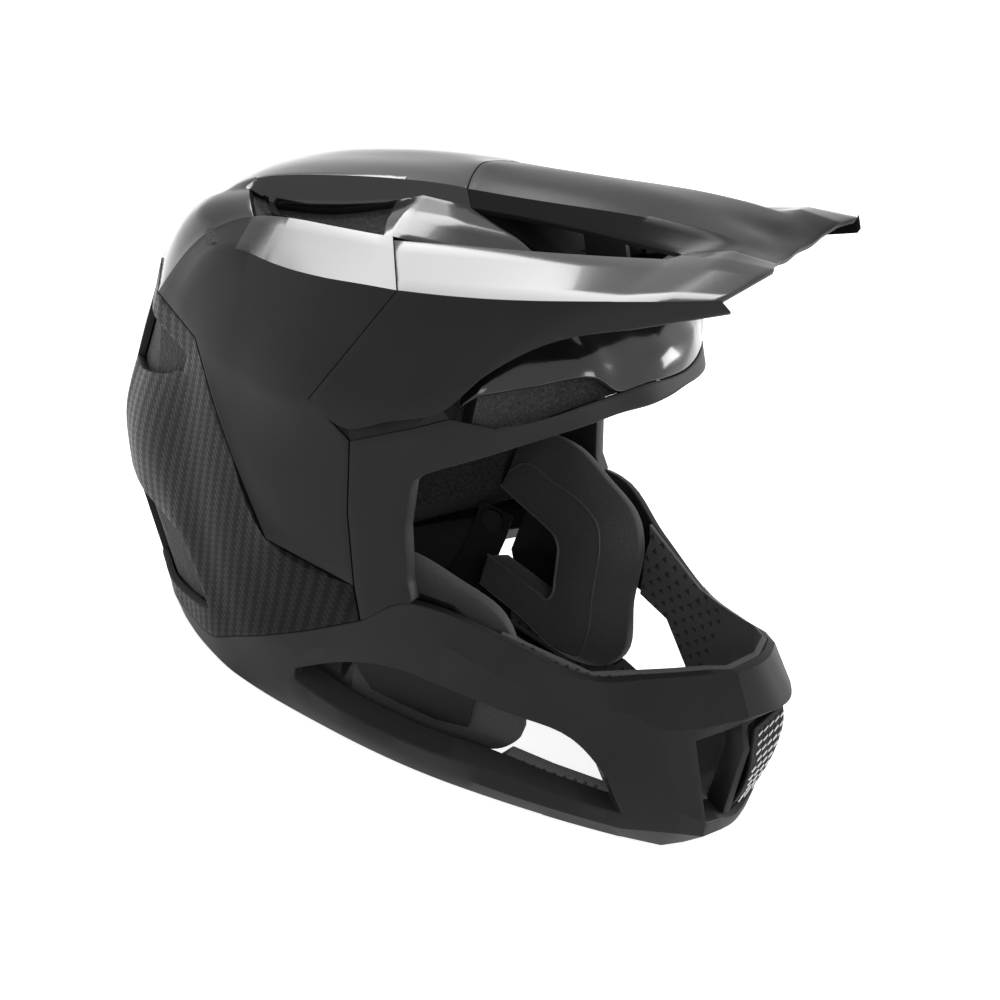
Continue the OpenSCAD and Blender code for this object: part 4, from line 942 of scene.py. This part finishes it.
# Mesh between the sides of the surround, and how far it bows out
MESH_ROWS = 16
MESH_COLS = 8
MESH_FOOT = 23
MESH_H = 47
MESH_T = 1.2
MESH_GAP = 1
MESH_Y = -169
MESH_BOW = 5
BOW_MIDDLE = 46
BOW_HALF_H = 25


def mesh_half_width(z):
    upper, widest, foot = VENT_FRONT
    a, b = (widest, upper) if z > widest[2] else (foot, widest)
    return a[0] + (b[0] - a[0]) * (z - a[2]) / (b[2] - a[2]) - MESH_GAP


def mesh_front(z):
    share = (z - BOW_MIDDLE) / BOW_HALF_H
    return MESH_Y - MESH_BOW * (1 - share * share)


def mesh_sheet():
    """Closed bowed sheet."""
    bm = bmesh.new()
    rows = []
    for k in range(MESH_ROWS + 1):
        z = MESH_FOOT + MESH_H * k / MESH_ROWS
        w = mesh_half_width(z)
        rows.append([(w * (2 * c / MESH_COLS - 1), mesh_front(z), z) for c in range(MESH_COLS + 1)])
    front = [[bm.verts.new(p) for p in row] for row in rows]
    rear = [[bm.verts.new((x, y + MESH_T, z)) for x, y, z in row] for row in rows]
    for i in range(MESH_ROWS):
        for j in range(MESH_COLS):
            bm.faces.new((front[i][j], front[i][j + 1], front[i + 1][j + 1], front[i + 1][j]))
            bm.faces.new((rear[i][j], rear[i + 1][j], rear[i + 1][j + 1], rear[i][j + 1]))
        for j in (0, MESH_COLS):
            bm.faces.new((front[i][j], front[i + 1][j], rear[i + 1][j], rear[i][j]))
    for i in (0, MESH_ROWS):
        for j in range(MESH_COLS):
            bm.faces.new((front[i][j], front[i][j + 1], rear[i][j + 1], rear[i][j]))
    finish_mesh(bm, "mouth_mesh_sheet", [MESH], "helmet", ["mouth_mesh"], rim=0.2)


def painted_highlight_bars(rows=10, foot=26, rise=4.5, pitch=6.5, stagger=1.6, margin=2.5, out=0.35, turn=-24,
              size=(3.9, 1.0, 1.2)):
    """Staggered bright metal bars on the front of the black mesh, standing as a painted highlight on its
    slats.
    """
    bm = bmesh.new()
    lean = Matrix.Rotation(math.radians(turn), 3, "Y")
    for row in range(rows):
        z = foot + row * rise
        w = mesh_half_width(z) - margin
        count = int(2 * w // pitch)
        for c in range(count + 1):
            x = (c - count / 2) * pitch + (stagger if row % 2 else -stagger)
            if abs(x) > w:
                continue
            box = bmesh.ops.create_cube(bm, size=1)["verts"]
            bmesh.ops.scale(bm, vec=size, verts=box)
            bmesh.ops.rotate(bm, cent=(0, 0, 0), matrix=lean, verts=box)
            bmesh.ops.translate(bm, vec=(x, mesh_front(z) - out, z), verts=box)
    finish_mesh(bm, "mouth_mesh_painted_highlight_bars", [PAINTED_HIGHLIGHT_METAL], "helmet", rim=0.25)


mouth_surround()
mesh_sheet()
painted_highlight_bars()


# Soft pieces
def joined(name, bm, material, body):
    """A finished small piece from a mesh in metres."""
    mesh = bpy.data.meshes.new(name)
    bmesh.ops.recalc_face_normals(bm, faces=bm.faces)
    bm.to_mesh(mesh)
    bm.free()
    mesh.materials.append(material)
    obj = placed(name, mesh)
    mesh.shade_smooth()
    mesh.set_sharp_from_angle(angle=math.radians(45))
    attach(obj, body)
    return obj


def smooth_line(points, steps):
    """Open Catmull-Rom curve through the points."""
    line = []
    for k in range(len(points) - 1):
        b, c = points[k], points[k + 1]
        a = points[k - 1] if k > 0 else 2 * b - c
        d = points[k + 2] if k + 2 < len(points) else 2 * c - b
        for s in range(steps):
            t = s / steps
            line.append((2 * b + (c - a) * t + (2 * a - 5 * b + 4 * c - d) * t ** 2
                         + (3 * b - a - 3 * c + d) * t ** 3) / 2)
    return line + [points[-1]]


def stretched(bm, rings):
    """Faces between rings of vertices, with both ends closed."""
    for a, b in zip(rings, rings[1:]):
        for s in range(len(a)):
            e = (s + 1) % len(a)
            bm.faces.new((a[s], a[e], b[e], b[s]))
    bm.faces.new(rings[0])
    bm.faces.new(list(reversed(rings[-1])))
    return bm


def direction(points, k):
    return (points[min(k + 1, len(points) - 1)] - points[max(k - 1, 0)]).normalized()


def tube(points, radius, sides=8):
    """A round cord along points in millimetres, as a mesh in metres."""
    bm = bmesh.new()
    rings = []
    side = direction(points, 0).cross(Vector((0.3, 0.2, 1))).normalized()
    for k, p in enumerate(points):
        along = direction(points, k)
        side = (side - along * side.dot(along)).normalized()
        over = along.cross(side)
        turns = [math.tau * s / sides for s in range(sides)]
        rings.append([bm.verts.new((p + (side * math.cos(turn) + over * math.sin(turn)) * radius) * MM)
                      for turn in turns])
    return stretched(bm, rings)


# Cheek cushions, and how far they lie behind the origin of their snap studs
CHEEK_L = 100
CHEEK_H = 90
CHEEK_T = 18
CHEEK_BACK = 2.3
CHEEK_TURN = Matrix.Rotation(math.radians(-14), 3, "Z") @ Matrix.Rotation(math.radians(11), 3, "Y")
CHEEK_ORIGIN = at((0.695, -0.1625, 0.203))
CUSHION_STEPS = 6
# The cushion's section: edge of the station, and depth as a share of the thickness
SECTION_SHARES = [(0, 0.02), (0, 0.18), (0, 0.35), (0.5, 0.66), (1, 0.93), (1.5, 1.0), (2, 0.99),
                  (2, 0.5), (2, 0.02), (1, 0.02)]
# Piping round the ear and seam of the face: edge of the station, depth as a share, radius
CHEEK_CORDS = {"cheek_ear_piping_": (2, 0.985, 0.8), "cheek_face_seam_": (1, 0.925, 0.45)}


def cheek_edge(edge, depth, side):
    """One long line on the C, from end to end; a broken edge number lies between two edges."""
    line = []
    low = int(edge)
    for station in CUSHION_SHARES:
        a, b = station[low], station[min(low + 1, 2)]
        along, high = [a[k] + (b[k] - a[k]) * (edge - low) for k in range(2)]
        local = Vector((-CHEEK_BACK - depth * CHEEK_T, along * CHEEK_L, high * CHEEK_H))
        p = CHEEK_ORIGIN + CHEEK_TURN @ local
        line.append(Vector((side * p.x, p.y, p.z)))
    return smooth_between(line, CUSHION_STEPS, ())


def cheek_pad(name, body, side):
    """C-shaped cushion with firm edges, a low crown on its face, and piping round the ear."""
    bm = bmesh.new()
    lines = [cheek_edge(edge, depth, side) for edge, depth in SECTION_SHARES]
    rings = [[bm.verts.new(line[k]) for line in lines] for k in range(len(lines[0]))]
    node = "cheek_pad_" + name
    pad = finish_mesh(stretched(bm, rings), node + "_cushion", [CHEEK], body, [node],
                      rim=1.6, sharp=60, angle=32)
    for start, (edge, depth, radius) in CHEEK_CORDS.items():
        line = cheek_edge(edge, depth, side)
        joined(start + name, tube(line, radius), PIPING, body)


def copied(node, name, material):
    """A new piece from the mesh of a CAD node."""
    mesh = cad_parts[node].data.copy()
    mesh.materials.clear()
    mesh.materials.append(material)
    return placed(name, mesh)


def inflate(obj, pressure=4.0, frames=20, most=1.0):
    """Blow a closed mesh up as cloth; no point ends further than the most from its start."""
    start = [v.co.copy() for v in obj.data.vertices]
    cloth = obj.modifiers.new("cloth", "CLOTH")
    cloth.settings.use_pressure = True
    cloth.settings.uniform_pressure_force = pressure
    cloth.settings.effector_weights.gravity = 0
    cloth.settings.quality = 4
    for step in range(1, frames + 1):
        bpy.context.scene.frame_set(step)
    settle(obj)
    bpy.context.scene.frame_set(1)
    for v, origin in zip(obj.data.vertices, start):
        move = v.co - origin
        if move.length > most * MM:
            v.co = origin + move.normalized() * most * MM


def comfort_pad(node, voxel=3.0, shrink=0.8):
    """A padded piece in the space of its CAD solid: remeshed, drawn in, then blown up."""
    obj = copied(node, node + "_cushion", LINING)
    remesh = obj.modifiers.new("remesh", "REMESH")
    remesh.mode = "VOXEL"
    remesh.voxel_size = voxel * MM
    settle(obj)
    smooth = obj.modifiers.new("even", "SMOOTH")
    smooth.factor = 0.5
    smooth.iterations = 3
    settle(obj)
    for v, normal in zip(obj.data.vertices, [v.normal.copy() for v in obj.data.vertices]):
        v.co -= normal * shrink * MM
    inflate(obj)
    sub = obj.modifiers.new("soft", "SUBSURF")
    sub.levels = sub.render_levels = 1
    settle(obj)
    obj.data.shade_smooth()
    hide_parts(node)
    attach(obj, "helmet")


def liner_padding(radius=1.2, near=0.02):
    """The chin liner's own mesh with soft edges."""
    liner = copied("chin_liner", "chin_liner_padding", LINER)
    weld = liner.modifiers.new("weld", "WELD")
    weld.merge_threshold = near * MM
    rounded(liner, radius, 3, 40, 35)
    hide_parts("chin_liner")
    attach(liner, "helmet")


# Webbing of the chin strap
STRAP_W = 18
STRAP_T = 1.6
STRAP_Y_SHARE = 0.08
STRAP_RIBS = 8
RIB_DEPTH = 0.12
EDGE_SHARE = 0.35


def ribbon(points):
    """Flat webbing along points in millimetres, its width along Y, with round edges and ribs."""
    bm = bmesh.new()
    last = STRAP_RIBS * 2
    half = []
    for k in range(last + 1):
        edge = EDGE_SHARE if k in (0, last) else 1
        half.append((STRAP_W * (k / last - 0.5), STRAP_T / 2 * edge - (RIB_DEPTH if k % 2 else 0)))
    section = half + [(y, -t) for y, t in reversed(half)]
    rings = []
    for k, p in enumerate(points):
        out = direction(points, k).cross(Vector((0, 1, 0))).normalized()
        rings.append([bm.verts.new((p + Vector((0, y, 0)) + out * t) * MM) for y, t in section])
    return stretched(bm, rings)


def strap(name, side):
    """Webbing from the rivet, straight at first, then in a curve under the chin to the buckle."""
    path = [at((share[0], STRAP_Y_SHARE, share[1])) for share in STRAP_SHARES]
    line = path[:2] + smooth_line(path[1:], 6)[1:]
    line = [Vector((side * p.x, p.y, p.z)) for p in line]
    webbing = joined("strap_webbing_" + name, ribbon(line), WEB, "helmet")
    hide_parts("strap_" + name)


cheek_pad("left", "cheek_left", 1)
cheek_pad("right", "cheek_right", -1)
for pad_node in ("crown_pad", "brow_pad", "nape_pad"):
    comfort_pad(pad_node)
liner_padding()
strap("left", 1)
strap("right", -1)


# Light and ground
def area(name, place, target, width, height, power):
    """A rectangular lamp; places and sizes in metres, power in watts."""
    lamp = bpy.data.lights.new(name, "AREA")
    lamp.shape = "RECTANGLE"
    lamp.size = width
    lamp.size_y = height
    lamp.energy = power
    place, target = Vector(place), Vector(target)
    turn = (place - target).to_track_quat("Z", "Y").to_matrix().to_4x4()
    placed(name, lamp).matrix_world = Matrix.Translation(place) @ turn


def seen_directly(tree):
    """1 for rays that meet the backdrop from the camera, a reflection or glass, else 0."""
    path = tree.nodes.new("ShaderNodeLightPath")
    value = path.outputs["Is Camera Ray"]
    for name in ("Is Glossy Ray", "Is Transmission Ray"):
        node = tree.nodes.new("ShaderNodeMath")
        node.operation = "MAXIMUM"
        tree.links.new(value, node.inputs[0])
        tree.links.new(path.outputs[name], node.inputs[1])
        value = node.outputs[0]
    return value


def white_world(light=0.45, seen=1.0):
    """White sky, weaker as a lamp than where it is seen."""
    world = bpy.data.worlds.new("world")
    bpy.context.scene.world = world
    world.use_nodes = True
    tree = world.node_tree
    for node in list(tree.nodes):
        tree.nodes.remove(node)
    strength = tree.nodes.new("ShaderNodeMapRange")
    strength.inputs["To Min"].default_value = light
    strength.inputs["To Max"].default_value = seen
    sky = tree.nodes.new("ShaderNodeBackground")
    sky.inputs["Color"].default_value = (1, 1, 1, 1)
    out = tree.nodes.new("ShaderNodeOutputWorld")
    tree.links.new(seen_directly(tree), strength.inputs["Value"])
    tree.links.new(strength.outputs["Result"], sky.inputs["Strength"])
    tree.links.new(sky.outputs["Background"], out.inputs["Surface"])


def pale_floor(strength=0.8):
    mat = bpy.data.materials.new("pale_floor")
    mat.use_nodes = True
    tree = mat.node_tree
    shader = tree.nodes["Principled BSDF"]
    shader.inputs["Base Color"].default_value = (0.9, 0.9, 0.9, 1)
    shader.inputs["Roughness"].default_value = 0.9
    shader.inputs["Specular IOR Level"].default_value = 0.0
    shader.inputs["Emission Color"].default_value = (1, 1, 1, 1)
    glow = tree.nodes.new("ShaderNodeMath")
    glow.operation = "MULTIPLY"
    glow.inputs[1].default_value = strength
    tree.links.new(seen_directly(tree), glow.inputs[0])
    tree.links.new(glow.outputs[0], shader.inputs["Emission Strength"])
    return mat


def studio_floor(size=6, drop=0.0003):
    bm = bmesh.new()
    bmesh.ops.create_grid(bm, x_segments=8, y_segments=8, size=size)
    mesh = bpy.data.meshes.new("studio_floor")
    bm.to_mesh(mesh)
    bm.free()
    mesh.materials.append(pale_floor())
    floor = placed("studio_floor", mesh)
    floor.location.z = -drop


area("far_softbox", (0.58, 1.273, 1.372), (0.108, -0.023, 0.215), 1.14, 0.8, 24)
area("near_fill", (-1.6, -0.9, 0.9), (0, 0, 0.15), 0.9, 0.5, 5)
area("front_strip", (-0.1, -2.2, 0.35), (0, 0, 0.1), 0.5, 0.6, 7)
area("far_fill", (1.5, -1.3, 0.6), (0, 0, 0.15), 0.7, 0.5, 10)
white_world()
studio_floor()
